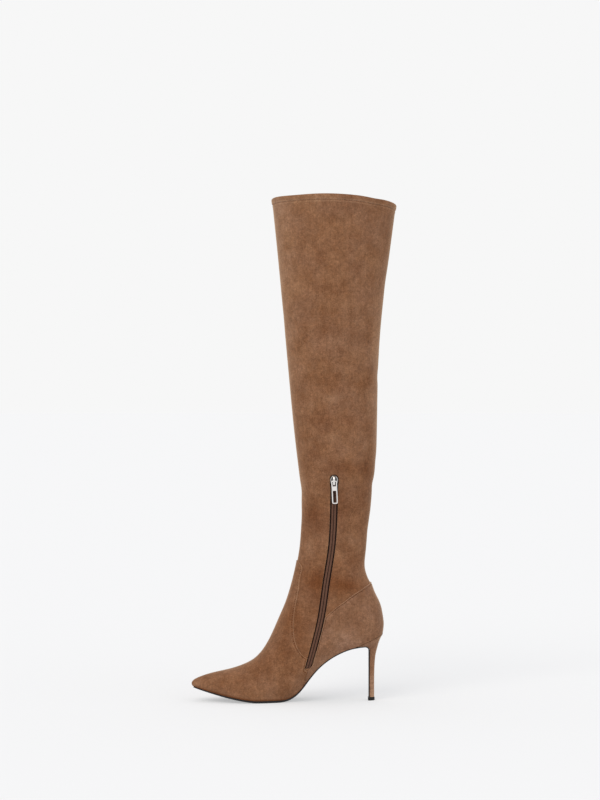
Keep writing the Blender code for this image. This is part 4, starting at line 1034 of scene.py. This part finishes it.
# Painted shadow strip along the vamp's free edge.
free_edge = vamp_points[:, 0, 2] > VAMP_JOINT + 0.0015
inner_edge, outer_edge = vamp_points[free_edge, -1], vamp_points[free_edge, 0][::-1]
inner_next, outer_next = vamp_points[free_edge, -5], vamp_points[free_edge, 4][::-1]
edge_normal = np.concatenate([vamp_normal[free_edge, -1], vamp_normal[free_edge, 0][::-1]])
vamp_outline = np.concatenate([inner_edge, outer_edge])
seam_shadow_strip("vamp_seam_shadow", vamp_outline, np.concatenate([inner_next, outer_next]), edge_normal)


# Stitches.
# Brown thread, one stitch every 3 mm, sunk in the grooves along the vamp and the counter and
# round the collar's hem.

THREAD = (0.26, 0.150, 0.095)
VAMP_SEAM_LOW = 0.058
thread = grained_material("brown thread", THREAD, tuple(1.35 * c for c in THREAD), 0.0004, 0.6)


def stitch_row(path, normal):
    """Points and quads of stitches along a path on the surface: each is a slender ellipsoid, as
    long as a stitch, laid on the path's direction at even steps."""
    length = lengths(path)
    count = max(2, int(length[-1] / STITCH_PITCH))
    at = (np.arange(count) + 0.5) * length[-1] / count
    middle = read_along(path, length, at)
    up = read_along(normal, length, at)
    along = unit(read_along(path, length, at + 0.0005) - middle)
    side = np.cross(along, up)
    t = np.linspace(-1, 1, 7)
    angle = np.linspace(0, 2 * np.pi, 6, endpoint=False)
    wide = np.sqrt(np.clip(1 - t**2, 0.02, 1)) * STITCH_THICK / 2
    grid = (
        along[:, None, None] * (t * STITCH_LENGTH / 2)[:, None, None]
        + side[:, None, None] * (wide[:, None] * np.cos(angle))[..., None]
        + up[:, None, None] * (wide[:, None] * np.sin(angle))[..., None]
    )
    points = (grid + middle[:, None, None]).reshape(-1, 3)
    i, j = np.meshgrid(np.arange(6), np.arange(6), indexing="ij")
    k = (j + 1) % 6
    quad = np.stack([i * 6 + j, (i + 1) * 6 + j, (i + 1) * 6 + k, i * 6 + k], -1).reshape(-1, 4)
    caps = np.array([(0, 1, 2, 3), (0, 3, 4, 5), (39, 38, 37, 36), (41, 40, 39, 36)])
    quads = np.concatenate([quad, caps])[None] + (np.arange(count) * 42)[:, None, None]
    return points, quads.reshape(-1, 4)


def stitches(name, seams):
    """One joined piece of stitches along several seams."""
    points, quads, total = [], [], 0
    for path, normal in seams:
        more, more_quads = stitch_row(path, normal)
        points.append(more)
        quads.append(more_quads + total)
        total += len(more)
    made = mesh_piece(name, np.concatenate(points), np.concatenate(quads), thread)
    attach(made, "boot")


GROOVE_STEP = int(np.argmin(np.abs(EDGE_STEPS[::-1] - GROOVE_IN)))
groove_column = VAMP_COLUMNS + GROOVE_STEP
middle_column = grid_turn.shape[1] // 2
vamp_face = stitch_line(vamp_points, vamp_normal, vamp_gap)
vamp_seams = []
for side in (-1, 1):
    at = middle_column + side * groove_column
    above = (vamp_points[:, at, 2] > VAMP_SEAM_LOW) & (vamp_rows < peak_row - 0.012)
    vamp_seams.append((vamp_face[above, at], vamp_normal[above, at]))
stitches("vamp_stitches", vamp_seams)
hem_at = int(np.argmin(np.abs(below_collar[:, 0] - HEM_HEIGHT)))
hem_face = upper_points[hem_at] - upper_normal[hem_at] * 0.0001
hem_face = np.append(hem_face, hem_face[:1], 0)
stitches("hem_stitches", [(hem_face, np.append(upper_normal[hem_at], upper_normal[hem_at, :1], 0))])


# Counter.
# The suede panel cupped round the back of the heel, over its stiffener, forward to the zip on the
# inner side and to a plain seam on the outer side.

counter_edge_line = spline(placed(COUNTER_EDGE), 300)


def counter_reach(x, z):
    """How far a side-view point lies below the counter's top edge."""
    return np.interp(-x, -counter_edge_line[:, 0], counter_edge_line[:, 1]) - z


COUNTER_HALF_COLUMNS = 60
COUNTER_ROWS = 70
COUNTER_HALF_LENGTH = 0.115
COUNTER_HEIGHT = 0.060
fine_rows = np.linspace(0, 0.95, 500)
zip_turn = turn_at(lambda x, z: zip_x(z) + seam_half(z) - x, fine_rows, 0.1, 0.4)
half_share = edge_shares(np.full(1, COUNTER_HALF_LENGTH), COUNTER_HALF_COLUMNS)[0]
column_turn = 0.5 - (0.5 - zip_turn[:, None]) * half_share
column_reach = counter_reach(*side_view(column_turn, fine_rows[:, None] + 0 * column_turn))
first_out = np.clip(np.argmax(column_reach < 0, axis=0), 1, len(fine_rows) - 1)
step = np.arange(len(half_share))
high, low = column_reach[first_out - 1, step], column_reach[first_out, step]
top_row = fine_rows[first_out - 1] + (fine_rows[1] - fine_rows[0]) * high / (high - low)
up_share = edge_shares(np.full(1, COUNTER_HEIGHT), COUNTER_ROWS)[0]
counter_row = up_share[:, None] * top_row
half_turn = 0.5 - (0.5 - np.interp(counter_row, fine_rows, zip_turn)) * half_share
counter_turn = np.concatenate([half_turn[:, ::-1], 1 - half_turn[:, 1:]], 1)
counter_row = np.concatenate([counter_row[:, ::-1], counter_row[:, 1:]], 1)
counter_points, counter_normal = skin(counter_turn, counter_row)
front_gap = edge_distance(counter_points, 2)
top_gap = edge_distance(np.swapaxes(counter_points[::-1], 0, 1), 1).T[::-1]
counter_gap = np.minimum(front_gap, top_gap)
cooler_suede = suede_material("greyer brown suede", (0.98, 1.02, 1.12))
counter_grid = (counter_points, counter_normal, counter_turn, counter_gap)
counter = panel_piece("counter_suede", *counter_grid, cooler_suede)
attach(counter, "boot")
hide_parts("counter")
counter_groove = COUNTER_ROWS + GROOVE_STEP
counter_face = stitch_line(counter_points, counter_normal, counter_gap)
counter_seam = (counter_face[counter_groove, 4:-4], counter_normal[counter_groove, 4:-4])
stitches("counter_stitches", [counter_seam])
# Painted shadow strip along the counter's top edge.
seam_shadow_strip("counter_seam_shadow", counter_points[-1], counter_points[-5], counter_normal[-1])


# Outsole.
# A thin black leather sole, skived to a fine edge at the waist and turned down the front of the
# heel as a flap. Its edge is inked, and edge and underside are satin.

SOLE_DARK = (0.010, 0.009, 0.009)
SOLE_LIGHT = (0.020, 0.018, 0.017)


def sole_material():
    """Black finished leather: a fine grain that is also its bump, under a thin clear coat."""
    finish = (0.0009, 0.42, 0.00006)
    made = grained_material("black sole leather", SOLE_DARK, SOLE_LIGHT, *finish)
    dial(made.node_tree.nodes["Principled BSDF"], Coat_Weight=0.15)
    return made


sole_leather = sole_material()
HEEL = {
    "columns": ("front", "down", "back", "wide", "round"),
    "rows": (
        (0.000, 0.010, 0.990, 1.000, 0.80), (0.065, 0.045, 0.880, 0.900, 0.80),
        (0.130, 0.090, 0.780, 0.750, 0.82), (0.180, 0.140, 0.690, 0.610, 0.84),
        (0.235, 0.225, 0.575, 0.470, 0.86), (0.330, 0.340, 0.445, 0.350, 0.90),
        (0.470, 0.480, 0.380, 0.275, 0.92), (0.680, 0.680, 0.350, 0.225, 0.92),
        (1.000, 1.000, 0.345, 0.205, 0.92),
    ),
}
SEAT_HALF_WIDTH = 0.0245


def heel_half_width(front):
    """Half width of the heel at a share of the way down its front."""
    return eased(HEEL, "wide", front) * SEAT_HALF_WIDTH


def tube_quads(rings, around):
    """Quads between closed rings of points, with both ends left open."""
    i, j = np.meshgrid(np.arange(rings - 1), np.arange(around), indexing="ij")
    k = (j + 1) % around
    a, b = i * around + j, i * around + k
    return np.stack([a, b, b + around, a + around], -1).reshape(-1, 4)


def loft_arrays(rings, tone=1.0):
    """Points, quads and tones of a closed solid through rings: the side quads, and at each end
    the ring shrunk to its middle, so the caps are quads too."""
    low = rings[:1].mean(1, keepdims=True) * 0.999 + rings[:1] * 0.001
    high = rings[-1:].mean(1, keepdims=True) * 0.999 + rings[-1:] * 0.001
    tone = np.broadcast_to(tone, rings.shape[:2])
    grid = np.concatenate([low, rings, high])
    tones = np.concatenate([tone[:1], tone, tone[-1:]])
    return grid.reshape(-1, 3), tube_quads(len(grid), grid.shape[1]), tones.ravel()


def closed_loft(name, rings, finish, sharp_degrees=50, tone=1.0):
    """One piece from the arrays of a loft."""
    points, quads, tones = loft_arrays(np.asarray(rings, float), tone)
    return mesh_piece(name, points, quads, finish, sharp_degrees, tones)


plan_x = np.clip(UNDERSIDE[:, 0], FRONT[0, 0], LIP)
sole_width, sole_middle = half_widths(plan_x, feather_height(plan_x))
narrow = np.interp(UNDER_LENGTH, (TREAD_AT, (TREAD_AT + LIP_AT) / 2), (SOLE_INSET, WAIST_INSET))
breast_share = np.clip((UNDER_LENGTH - LIP_AT) / (UNDER_LENGTH[-1] - LIP_AT), 0, 1)
behind = smoothstep(0, 0.08, breast_share)
waist_half = sole_width - narrow
flap_half = np.minimum(heel_half_width(breast_share) * 0.95, waist_half)
sole_half = np.clip(waist_half * (1 - behind) + flap_half * behind, 0.0012, None)
sole_middle = sole_middle * (1 - behind)
corner = np.linspace(0, np.pi / 2, 5)
edge_round = np.minimum(0.3 * SOLE_THICK, 0.4 * sole_half)[:, None]
low_y = sole_half[:, None] - edge_round * (1 - np.sin(corner))
low_t = edge_round * (1 - np.cos(corner))
high_y = sole_half[:, None] - edge_round * 0.5 * (1 - np.cos(corner))
high_t = SOLE_THICK[:, None] - edge_round * 0.5 * (1 - np.sin(corner))
half_y = np.concatenate([low_y, high_y], 1)
half_t = np.concatenate([low_t, high_t], 1)
ring_y = np.concatenate([half_y, -half_y[:, ::-1]], 1) + sole_middle[:, None]
ring_t = np.concatenate([half_t, half_t[:, ::-1]], 1)
up_x, up_z = left_of(UNDERSIDE).T
ring_x = UNDERSIDE[:, :1] + up_x[:, None] * ring_t
ring_z = UNDERSIDE[:, 1:] + up_z[:, None] * ring_t
sole_rings = np.stack([ring_x, ring_y, ring_z], -1)
sole = closed_loft("outsole_leather", sole_rings, sole_leather, 40)
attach(sole, "boot")
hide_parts("outsole")


# Heel.
# A slender moulded heel covered in the same suede, with a lip under the seat and a concave back
# that narrows to the top piece. The seat's seam is a fine line under the counter.

LIP_THICKNESS = 0.0006
LIP_SETBACK = 0.0030
RING_STEPS = 22
HEEL_TONE = 0.90
# Painted light on the heel: how much lighter towards its back and towards its foot.
BACK_PAINTED_LIGHT = 0.30
LOWER_PAINTED_LIGHT = 0.75
SEAM_TONE = 0.5


def heel_rings(front, back, half, round_share):
    """D-shaped rings: from the flat front edge the half width runs back and closes as a quarter
    circle over the last share of the depth."""
    steps = (1 - np.cos(np.linspace(0, np.pi, RING_STEPS))) / 2
    soft = rounding((steps + 0.004) / 0.05) * 0.07 + 0.93
    wide = half[:, None] * rounding((1 - steps) / round_share[:, None]) * soft
    line = front[:, None] + (back - front)[:, None] * steps[:, None]
    inner = np.stack([line[..., 0], -wide, line[..., 1]], -1)
    outer = np.stack([line[..., 0], wide, line[..., 1]], -1)
    return np.concatenate([inner, outer[:, -2::-1]], 1)


def heel_front_path():
    """The heel's front in side view: under the lip, round the fillet and down the breast."""
    face = SOLE_TOP + left_of(UNDERSIDE) * GAP
    start = LIP + LIP_SETBACK
    level = slice(SOLE_FRONT_POINTS, SOLE_LEVEL_POINTS)
    under = (face[:, 0] > start) & (np.arange(len(face)) > SOLE_FRONT_POINTS + 20)
    start_z = np.interp(start, face[level, 0], face[level, 1])
    return np.concatenate([[(start, start_z)], face[under]])


heel_path = heel_front_path()
heel_share = lengths(heel_path) / lengths(heel_path)[-1]
back_start = BREAST + FLAP_THICKNESS + GAP
heel_back = np.column_stack(
    [
        back_start + eased(HEEL, "back", heel_share) * (SEAT_BACK - back_start),
        HEEL_HEIGHT - eased(HEEL, "down", heel_share) * (HEEL_HEIGHT - TIP_HEIGHT - GAP),
    ]
)
lip_front = heel_path[:1] + (0, LIP_THICKNESS)
fronts = np.concatenate([lip_front, heel_path])
backs = np.concatenate([[(SEAT_BACK, HEEL_HEIGHT)], heel_back])
halves = np.append(SEAT_HALF_WIDTH, heel_half_width(heel_share))
rounds = np.append(0.8, eased(HEEL, "round", heel_share))
rings = heel_rings(fronts, backs, halves, rounds)
backward = (rings[..., 0] - rings[..., 0].min(1)[:, None]) / np.ptp(rings[..., 0], 1)[:, None]
lower = smoothstep(0.35, 1, 1 - rings[..., 2] / HEEL_HEIGHT)
# Painted light: the heel grows lighter towards its back and towards its foot.
heel_tone_and_painted_light = HEEL_TONE + BACK_PAINTED_LIGHT * backward + LOWER_PAINTED_LIGHT * lower
heel_tone_and_painted_light[0] = SEAM_TONE
heel = closed_loft("heel_suede", rings, cooler_suede, 50, heel_tone_and_painted_light)
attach(heel, "boot")
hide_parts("heel")


# Top piece.
# The hard black wear piece pinned under the heel, a little proud of it all round.

TIP_MARGIN = 0.0006
TIP_TONES = ([0.008] * 3, [0.016] * 3)
tip_rubber = grained_material("black top piece", *TIP_TONES, 0.0006, 0.5)
tip_levels = np.array((0, 0.0002, 0.0005, TIP_HEIGHT - 0.0004, TIP_HEIGHT - 0.0001, TIP_HEIGHT))
tip_shrink = np.array((0.0005, 0.00015, 0, 0, 0.0001, 0.0003))
tip_front = np.column_stack([BREAST - TIP_MARGIN + tip_shrink, tip_levels])
tip_last = back_start + HEEL["rows"][-1][2] * (SEAT_BACK - back_start) + TIP_MARGIN
tip_back = np.column_stack([tip_last - tip_shrink, tip_levels])
tip_half = HEEL["rows"][-1][3] * SEAT_HALF_WIDTH + TIP_MARGIN - tip_shrink
tip_rings = heel_rings(tip_front[::-1], tip_back[::-1], tip_half[::-1], np.full(6, 0.92))
heel_tip = closed_loft("heel_top_piece", tip_rings, tip_rubber, 40)
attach(heel_tip, "boot")
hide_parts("heel_tip")


# Insole.
# The sock over the insole board, the floor that is seen through the collar.

INSOLE_THICKNESS = 0.0018
INSOLE_LIFT = 0.0006
INSOLE_DIP = 0.0005
INSOLE_INSET = WALL + 0.0006
insole_share = (1 - np.cos(np.linspace(0.02, 0.985, 120) * np.pi)) / 2
insole_x = FRONT[0, 0] + insole_share * (SEAT_BACK - FRONT[0, 0])
insole_half, insole_middle = half_widths(insole_x, feather_height(insole_x) + 0.0001)
insole_half = np.clip(insole_half - INSOLE_INSET, 0.0005, None)
across_share = np.linspace(-1, 1, 25)
insole_y = insole_middle[:, None] + insole_half[:, None] * across_share
insole_z = (feather_height(insole_x) + INSOLE_LIFT)[:, None]
insole_rise = INSOLE_THICKNESS - INSOLE_DIP * (1 - across_share**2)
insole_faces = [
    np.stack(np.broadcast_arrays(insole_x[:, None], insole_y, insole_z + rise), -1)
    for rise in (0 * insole_rise, insole_rise)
]
insole = shell_piece("insole_sock", insole_faces, lining_cloth, 40)
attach(insole, "boot")
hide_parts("insole")


# Zip.
# A closed reversed-coil zip: two woven tapes whose folded edges meet in a fine groove, lying in
# the slot over a near-black backing that stands as painted shadow at each side. The groove, the
# chain's edges and the chain under the pull carry painted shade.

TAPE_HALF = 0.0082
CHAIN_HALF = 0.0031
CHAIN_RISE = -0.0002
CHAIN_GROOVE = 0.0007
# Painted shade in the chain's middle groove and along its edges: tone, place and half width.
CHAIN_SHADE_LINES = ((-0.75, 0.0, 0.00055), (-0.4, CHAIN_HALF, 0.0004))
TAPE_DEPTH = 0.0021
TAPE_BROWN = (0.089, 0.040, 0.025)
TAPE_LIGHT = (0.137, 0.067, 0.043)
# Painted shadow: the near-black of the backing, seen beside the chain.
TAPE_SHADOW = (0.019, 0.009, 0.006)
COIL_PITCH = 0.0014
# How dark the painted shadow of the pull lies on the chain under it.
PULL_SHADOW = 0.42


def zip_material():
    """Folded woven tape over the coil: fine noise mixes two browns, and a wave on the height
    with the coil's pitch stands up in the bump."""
    made, tree, shader, place_on = finish_nodes("brown zip tape")
    dial(shader, Roughness=0.8, Specular_IOR_Level=0.15)
    colour = ramp(tree, noise(tree, place_on, 900, 3, 0.6), 0.35, 0.65, TAPE_BROWN, TAPE_LIGHT)
    tree.links.new(toned(tree, colour), shader.inputs["Base Color"])
    ribs = tree.nodes.new("ShaderNodeTexWave")
    ribs.bands_direction = "Z"
    dial(ribs, Scale=math.pi / 10 / COIL_PITCH, Distortion=0.6)
    tree.links.new(place_on, ribs.inputs["Vector"])
    bumped(tree, ribs.outputs["Fac"], 0.6, 0.0003, shader)
    return made


def zip_face(z, across, depth):
    """Points of the zip: the suede's inner-side surface at the zip's line plus an offset across,
    moved along its normal by minus the depth."""
    line = np.stack([zip_x(z), z], -1)
    side = -left_of(line)
    x = line[:, None, 0] + side[:, None, 0] * across
    height = line[:, None, 1] + side[:, None, 1] * across
    small = 1e-4

    def face(at_x, at_z):
        width, middle = half_widths(at_x, at_z)
        return middle - width

    slope_x = (face(x + small, height) - face(x - small, height)) / (2 * small)
    slope_z = (face(x, height + small) - face(x, height - small)) / (2 * small)
    normal = unit(np.stack([slope_x, -np.ones_like(slope_x), slope_z], -1))
    return np.stack([x, face(x, height), height], -1) - normal * depth[..., None]


zip_heights = np.linspace(ZIP_TOP - GAP, ZIP_BOTTOM + GAP, 240)
chain_across = np.linspace(-1, 1, 29) * CHAIN_HALF
centre = np.abs(chain_across)
chain_shape = CHAIN_RISE - CHAIN_GROOVE * line_of(centre, 0.00045)
chain_shape = chain_shape - CHAIN_GROOVE * (1 - rounding((CHAIN_HALF - centre) / 0.0008))
chain_shade = 1 + fine_lines(CHAIN_SHADE_LINES, centre)
chain_depth = np.broadcast_to(-chain_shape, (len(zip_heights), len(chain_across)))
chain_top = zip_face(zip_heights, chain_across, chain_depth)
chain_base = zip_face(zip_heights, chain_across, np.full(chain_depth.shape, WALL))
tape_cloth = zip_material()
# Painted shadow of the hanging pull, a band across the chain under it.
pull_shadow_band = smoothstep(0.244, 0.250, zip_heights) - smoothstep(0.264, 0.270, zip_heights)
chain_shade = chain_shade * (1 - PULL_SHADOW * pull_shadow_band[:, None])
chain = shell_piece("zip_chain", (chain_top, chain_base), tape_cloth, 50, chain_shade)
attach(chain, "boot")
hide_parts("zip_teeth")

# The backing is painted near-black as the shadow beside the chain.
BACKING_SHADOW_TONES = (TAPE_SHADOW, [1.5 * c for c in TAPE_SHADOW])
shadow_backing_cloth = grained_material("zip backing painted shadow", *BACKING_SHADOW_TONES, 0.0006, 0.9)
tape_heights = np.linspace(ZIP_TOP + 0.003, ZIP_BOTTOM - 0.002, 120)
tape_across = np.linspace(-1, 1, 9) * TAPE_HALF
tape_ends = np.full((len(tape_heights), len(tape_across)), TAPE_DEPTH)
tape_top = zip_face(tape_heights, tape_across, tape_ends)
tape_base = zip_face(tape_heights, tape_across, tape_ends + 0.0006)
tape = shell_piece("zip_tape_cloth", (tape_top, tape_base), shadow_backing_cloth, 50)
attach(tape, "boot")
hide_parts("zip_tape")


# Slider and pull tab.
# Die-cast and polished nickel. The pull hangs from the slider's bridge by its crossbar.

NICKEL = (0.82, 0.79, 0.76)
SLIDER_HALF_LENGTH = 0.0064
SLIDER_TOP_HALF = 0.0049
SLIDER_FOOT_HALF = 0.0038
SHOULDER = 0.0015
SHIELD_POWER = 0.65
PLATE_TOP = 0.0015
RAIL_RADIUS = 0.0006
RAIL_INSET = 0.0008
# Painted shade and dark reflection on the slider's rails.
RAIL_SHADE = 0.6
BRIDGE_FOOT = 0.0009
BRIDGE_TOP = 0.0048
BRIDGE_BAR = (0.0013, 0.00055)
BRIDGE_REACH = 0.0052
HINGE_RISE = 0.0030
PULL_WIDTH = 0.0071
PULL_ARM = 0.0015
PULL_THICKNESS = 0.0014
PULL_PLATE = (0.0064, 0.0118)
PULL_END = 0.0272
PULL_LEAN = math.radians(2.5)
PULL_OUT = (0.0, -1.0, 0.0)
PULL_OVERLAP = 0.001
# Tone on the sides of each bar: painted shade and dark reflection.
METAL_SIDE_SHADE = 0.30


def nickel_material():
    """Polished nickel, painted darker on its sides as painted shade and dark reflection, by the
    tone attribute, with a faint cast unevenness on the roughness."""
    made, tree, shader, place_on = finish_nodes("polished nickel")
    dial(shader, Metallic=1.0)
    cast = noise(tree, place_on, 900, 2, 0.5)
    colour = ramp(tree, cast, 0.3, 0.7, [0.97 * c for c in NICKEL], NICKEL)
    tree.links.new(toned(tree, colour), shader.inputs["Base Color"])
    spread = tree.nodes.new("ShaderNodeMapRange")
    dial(spread, To_Min=0.16, To_Max=0.28)
    tree.links.new(cast, spread.inputs["Value"])
    tree.links.new(spread.outputs["Result"], shader.inputs["Roughness"])
    return made


nickel = nickel_material()
frame_heights = SLIDER_HEIGHT + np.array((0.001, 0, -0.001))
frame_at = zip_face(frame_heights, np.zeros(1), np.full((3, 1), -0.0002))[1, 0]
frame_lift = zip_face(frame_heights, np.zeros(1), np.full((3, 1), -1.0002))[1, 0]
zip_out = frame_lift - frame_at
zip_up = np.cross(zip_out, (1.0, 0, 0))
zip_up *= np.sign(zip_up[2]) / np.linalg.norm(zip_up)
zip_side = np.cross(zip_up, zip_out)
zip_side *= np.sign(zip_side[0])


def on_zip(side, up, out):
    """Places from distances across, up and out of the zip, at the slider."""
    side, up, out = np.broadcast_arrays(side, up, out)
    return frame_at + zip_side * side[..., None] + zip_up * up[..., None] + zip_out * out[..., None]


def swept_arrays(path, wide_way, out_way, half_wide, half_thick, closed):
    """A rounded bar along a path: each ring is a superellipse, the cosine and sine raised to 0.5
    with their signs, on the wide and the outward directions; its sides are painted darker, as
    painted shade and dark reflection."""
    angle = np.linspace(0, 2 * np.pi, 16, endpoint=False) + np.pi / 16
    wide = signed_power(np.cos(angle), 0.5) * half_wide
    thick = signed_power(np.sin(angle), 0.5) * half_thick
    rings = path[:, None] + wide_way[:, None] * wide[:, None] + out_way[:, None] * thick[:, None]
    tone = METAL_SIDE_SHADE + (1 - METAL_SIDE_SHADE) * smoothstep(0.45, 0.95, thick / half_thick)
    if not closed:
        return loft_arrays(rings, tone)
    rings = np.concatenate([rings, rings[:1]])
    tones = np.broadcast_to(tone, rings.shape[:2]).ravel()
    return rings.reshape(-1, 3), tube_quads(len(rings), 16), tones


def metal_piece(name, parts, body, node):
    """One nickel piece joined from several closed shapes, each with its faces turned outwards."""
    points, quads, tones, total = [], [], [], 0
    for part_points, part_quads, part_tones in parts:
        a, b, c = (part_points[part_quads[:, k]] for k in (0, 1, 2))
        middle = part_points.mean(0)
        volume = ((a - middle) * np.cross(b - middle, c - middle)).sum()
        quads.append((part_quads if volume > 0 else part_quads[:, ::-1]) + total)
        points.append(part_points)
        tones.append(part_tones)
        total += len(part_points)
    every = np.concatenate(points), np.concatenate(quads)
    made = mesh_piece(name, *every, nickel, 40, np.concatenate(tones))
    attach(made, body)
    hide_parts(node)


def slider_half(up):
    """Half width of the slider: it widens from its foot to its shoulder and stays wide above."""
    return np.interp(up, (-SLIDER_HALF_LENGTH, SHOULDER), (SLIDER_FOOT_HALF, SLIDER_TOP_HALF))


def shield(shrink):
    """Outline of the slider: an ellipse squared off by SHIELD_POWER on its half width."""
    angle = np.linspace(0, 2 * np.pi, 48, endpoint=False)
    up = (SLIDER_HALF_LENGTH - shrink) * np.sin(angle)
    return (slider_half(up) - shrink) * signed_power(np.cos(angle), SHIELD_POWER), up


plate_levels = ((0.0006, -0.0010), (0.0002, -0.0008), (0, 0.0002), (0, 0.0009), (0.0003, 0.0013))
plate_rings = [on_zip(*shield(shrink), out) for shrink, out in plate_levels]
plate_rings.append(on_zip(*shield(RAIL_INSET), PLATE_TOP))
# Painted shade and dark reflection on the slider's plate, ring by ring from its foot to its top.
plate_shade = np.array((0.08, 0.08, 0.1, 0.2, 0.4, 0.10))[:, None]
slider_parts = [loft_arrays(np.stack(plate_rings), plate_shade)]
rail_angle = np.linspace(-0.75, 1.15, 24)
for hand in (-1, 1):
    rail_up = (SLIDER_HALF_LENGTH - RAIL_INSET) * np.sin(rail_angle)
    rail_side = hand * (slider_half(rail_up) - RAIL_INSET) * np.cos(rail_angle) ** SHIELD_POWER
    rail = on_zip(rail_side, rail_up, PLATE_TOP)
    across_rail = unit(np.cross(np.gradient(rail, axis=0), zip_out))
    outwards = np.broadcast_to(zip_out, rail.shape)
    rail_parts = swept_arrays(rail, across_rail, outwards, RAIL_RADIUS, RAIL_RADIUS, False)
    slider_parts.append((rail_parts[0], rail_parts[1], rail_parts[2] * RAIL_SHADE))
arch = np.linspace(0, np.pi, 28)
arch_up = BRIDGE_REACH * signed_power(np.cos(arch), 0.7)
arch_out = BRIDGE_FOOT + (BRIDGE_TOP - BRIDGE_FOOT) * np.sin(arch) ** 0.6
bridge = on_zip(0.0, arch_up, arch_out)
across_bridge = np.broadcast_to(zip_side, bridge.shape)
over = unit(np.cross(across_bridge, np.gradient(bridge, axis=0)))
over *= np.sign((over * zip_out).sum(1).mean())
slider_parts.append(swept_arrays(bridge, across_bridge, over, *BRIDGE_BAR, False))
metal_piece("slider", slider_parts, "boot", "zip_slider")

hinge = on_zip(0.0, 0.0, 0.0002 + HINGE_RISE)


def hanging(side, down, out=0.0):
    """Places on the pull, which hangs from its hinge and leans a little across: down and side are
    turned by the lean."""
    side, down, out = np.broadcast_arrays(side, down, out)
    x = side * math.cos(PULL_LEAN) + down * math.sin(PULL_LEAN)
    z = side * math.sin(PULL_LEAN) - down * math.cos(PULL_LEAN)
    return hinge + np.stack([x, -out + 0 * x, z], -1)


def ring_bar(top, bottom):
    """A flat bar bent into a rounded oblong between two distances under the hinge: its middle
    line is a superellipse with the power 0.25."""
    angle = np.linspace(0, 2 * np.pi, 56, endpoint=False)
    half = (PULL_WIDTH - PULL_ARM) / 2
    down = (top + bottom) / 2 + (bottom - top) / 2 * signed_power(np.sin(angle), 0.25)
    path = hanging(half * signed_power(np.cos(angle), 0.25), down)
    along = np.roll(path, -1, 0) - np.roll(path, 1, 0)
    out_way = np.broadcast_to(PULL_OUT, path.shape)
    wide_way = unit(np.cross(along, out_way))
    return swept_arrays(path, wide_way, out_way, PULL_ARM / 2, PULL_THICKNESS / 2, True)


plate_path = hanging(0.0, np.linspace(*PULL_PLATE, 5))
plate_wide = np.broadcast_to(hanging(1.0, 0.0) - hinge, plate_path.shape)
plate_out = np.broadcast_to(PULL_OUT, plate_path.shape)
plate_half = PULL_THICKNESS / 2 + 0.0001
pull_parts = [
    ring_bar(0.0, PULL_PLATE[0] + PULL_OVERLAP),
    swept_arrays(plate_path, plate_wide, plate_out, PULL_WIDTH / 2, plate_half, False),
    ring_bar(PULL_PLATE[1] - PULL_OVERLAP, PULL_END),
]
metal_piece("pull_tab", pull_parts, "pull_tab", "zip_pull")


# Studio.
# A pale seamless floor under even soft light, with a broad soft key from the upper left and a cool
# fill. The camera is level, a little above the boot's middle, where a product photographer stands.

CAMERA_DISTANCE = 2.85
CAMERA_HEIGHT = 0.375
CAMERA_X = 0.0078
VIEW_WIDTH = 0.75
PAPER = 0.93
KEY_STRENGTH = 1.05
KEY_COLOUR = (1.0, 0.95, 0.86)
FILL_STRENGTH = 0.30
FILL_COLOUR = (0.80, 0.90, 1.0)
FILL_TURN = (math.radians(68), 0, math.radians(62))
KEY_TURN = (math.radians(48), math.radians(-4), math.radians(-24))
FLOOR_TONE = (0.419, 0.423, 0.436)
FLOOR_GLOW = 0.432
FLOOR_REACH = 60

floor_mesh = bpy.data.meshes.new("floor")
corners = [(x * FLOOR_REACH, y * FLOOR_REACH, 0) for x, y in ((-1, -1), (1, -1), (1, 1), (-1, 1))]
floor_mesh.from_pydata(corners, [], [(0, 1, 2, 3)])
floor = bpy.data.objects.new("floor", floor_mesh)
bpy.context.scene.collection.objects.link(floor)
paper = bpy.data.materials.new("pale floor")
paper.use_nodes = True
paper_shader = paper.node_tree.nodes["Principled BSDF"]
dial(paper_shader, Base_Color=(*FLOOR_TONE, 1), Roughness=1.0, Specular_IOR_Level=0.0)
dial(paper_shader, Emission_Color=(1, 1, 1, 1), Emission_Strength=FLOOR_GLOW)
floor_mesh.materials.append(paper)

world = bpy.data.worlds.new("studio")
bpy.context.scene.world = world
world.use_nodes = True
dial(world.node_tree.nodes["Background"], Color=(PAPER, PAPER, PAPER, 1), Strength=1.0)

for name, strength, spread, colour, turned in (
    ("key light", KEY_STRENGTH, math.radians(35), KEY_COLOUR, KEY_TURN),
    ("fill light", FILL_STRENGTH, math.radians(60), FILL_COLOUR, FILL_TURN),
):
    light = bpy.data.objects.new(name, bpy.data.lights.new(name, "SUN"))
    light.data.energy = strength
    light.data.angle = spread
    light.data.color = colour
    light.rotation_euler = turned
    bpy.context.scene.collection.objects.link(light)

camera = bpy.data.objects.new("camera", bpy.data.cameras.new("camera"))
camera.location = (CAMERA_X, -CAMERA_DISTANCE, CAMERA_HEIGHT)
camera.rotation_euler = (math.pi / 2, 0, 0)
camera.data.sensor_fit = "HORIZONTAL"
camera.data.angle = 2 * math.atan(VIEW_WIDTH / 2 / CAMERA_DISTANCE)
bpy.context.scene.collection.objects.link(camera)
bpy.context.scene.camera = camera
bpy.context.scene.view_settings.view_transform = "Standard"
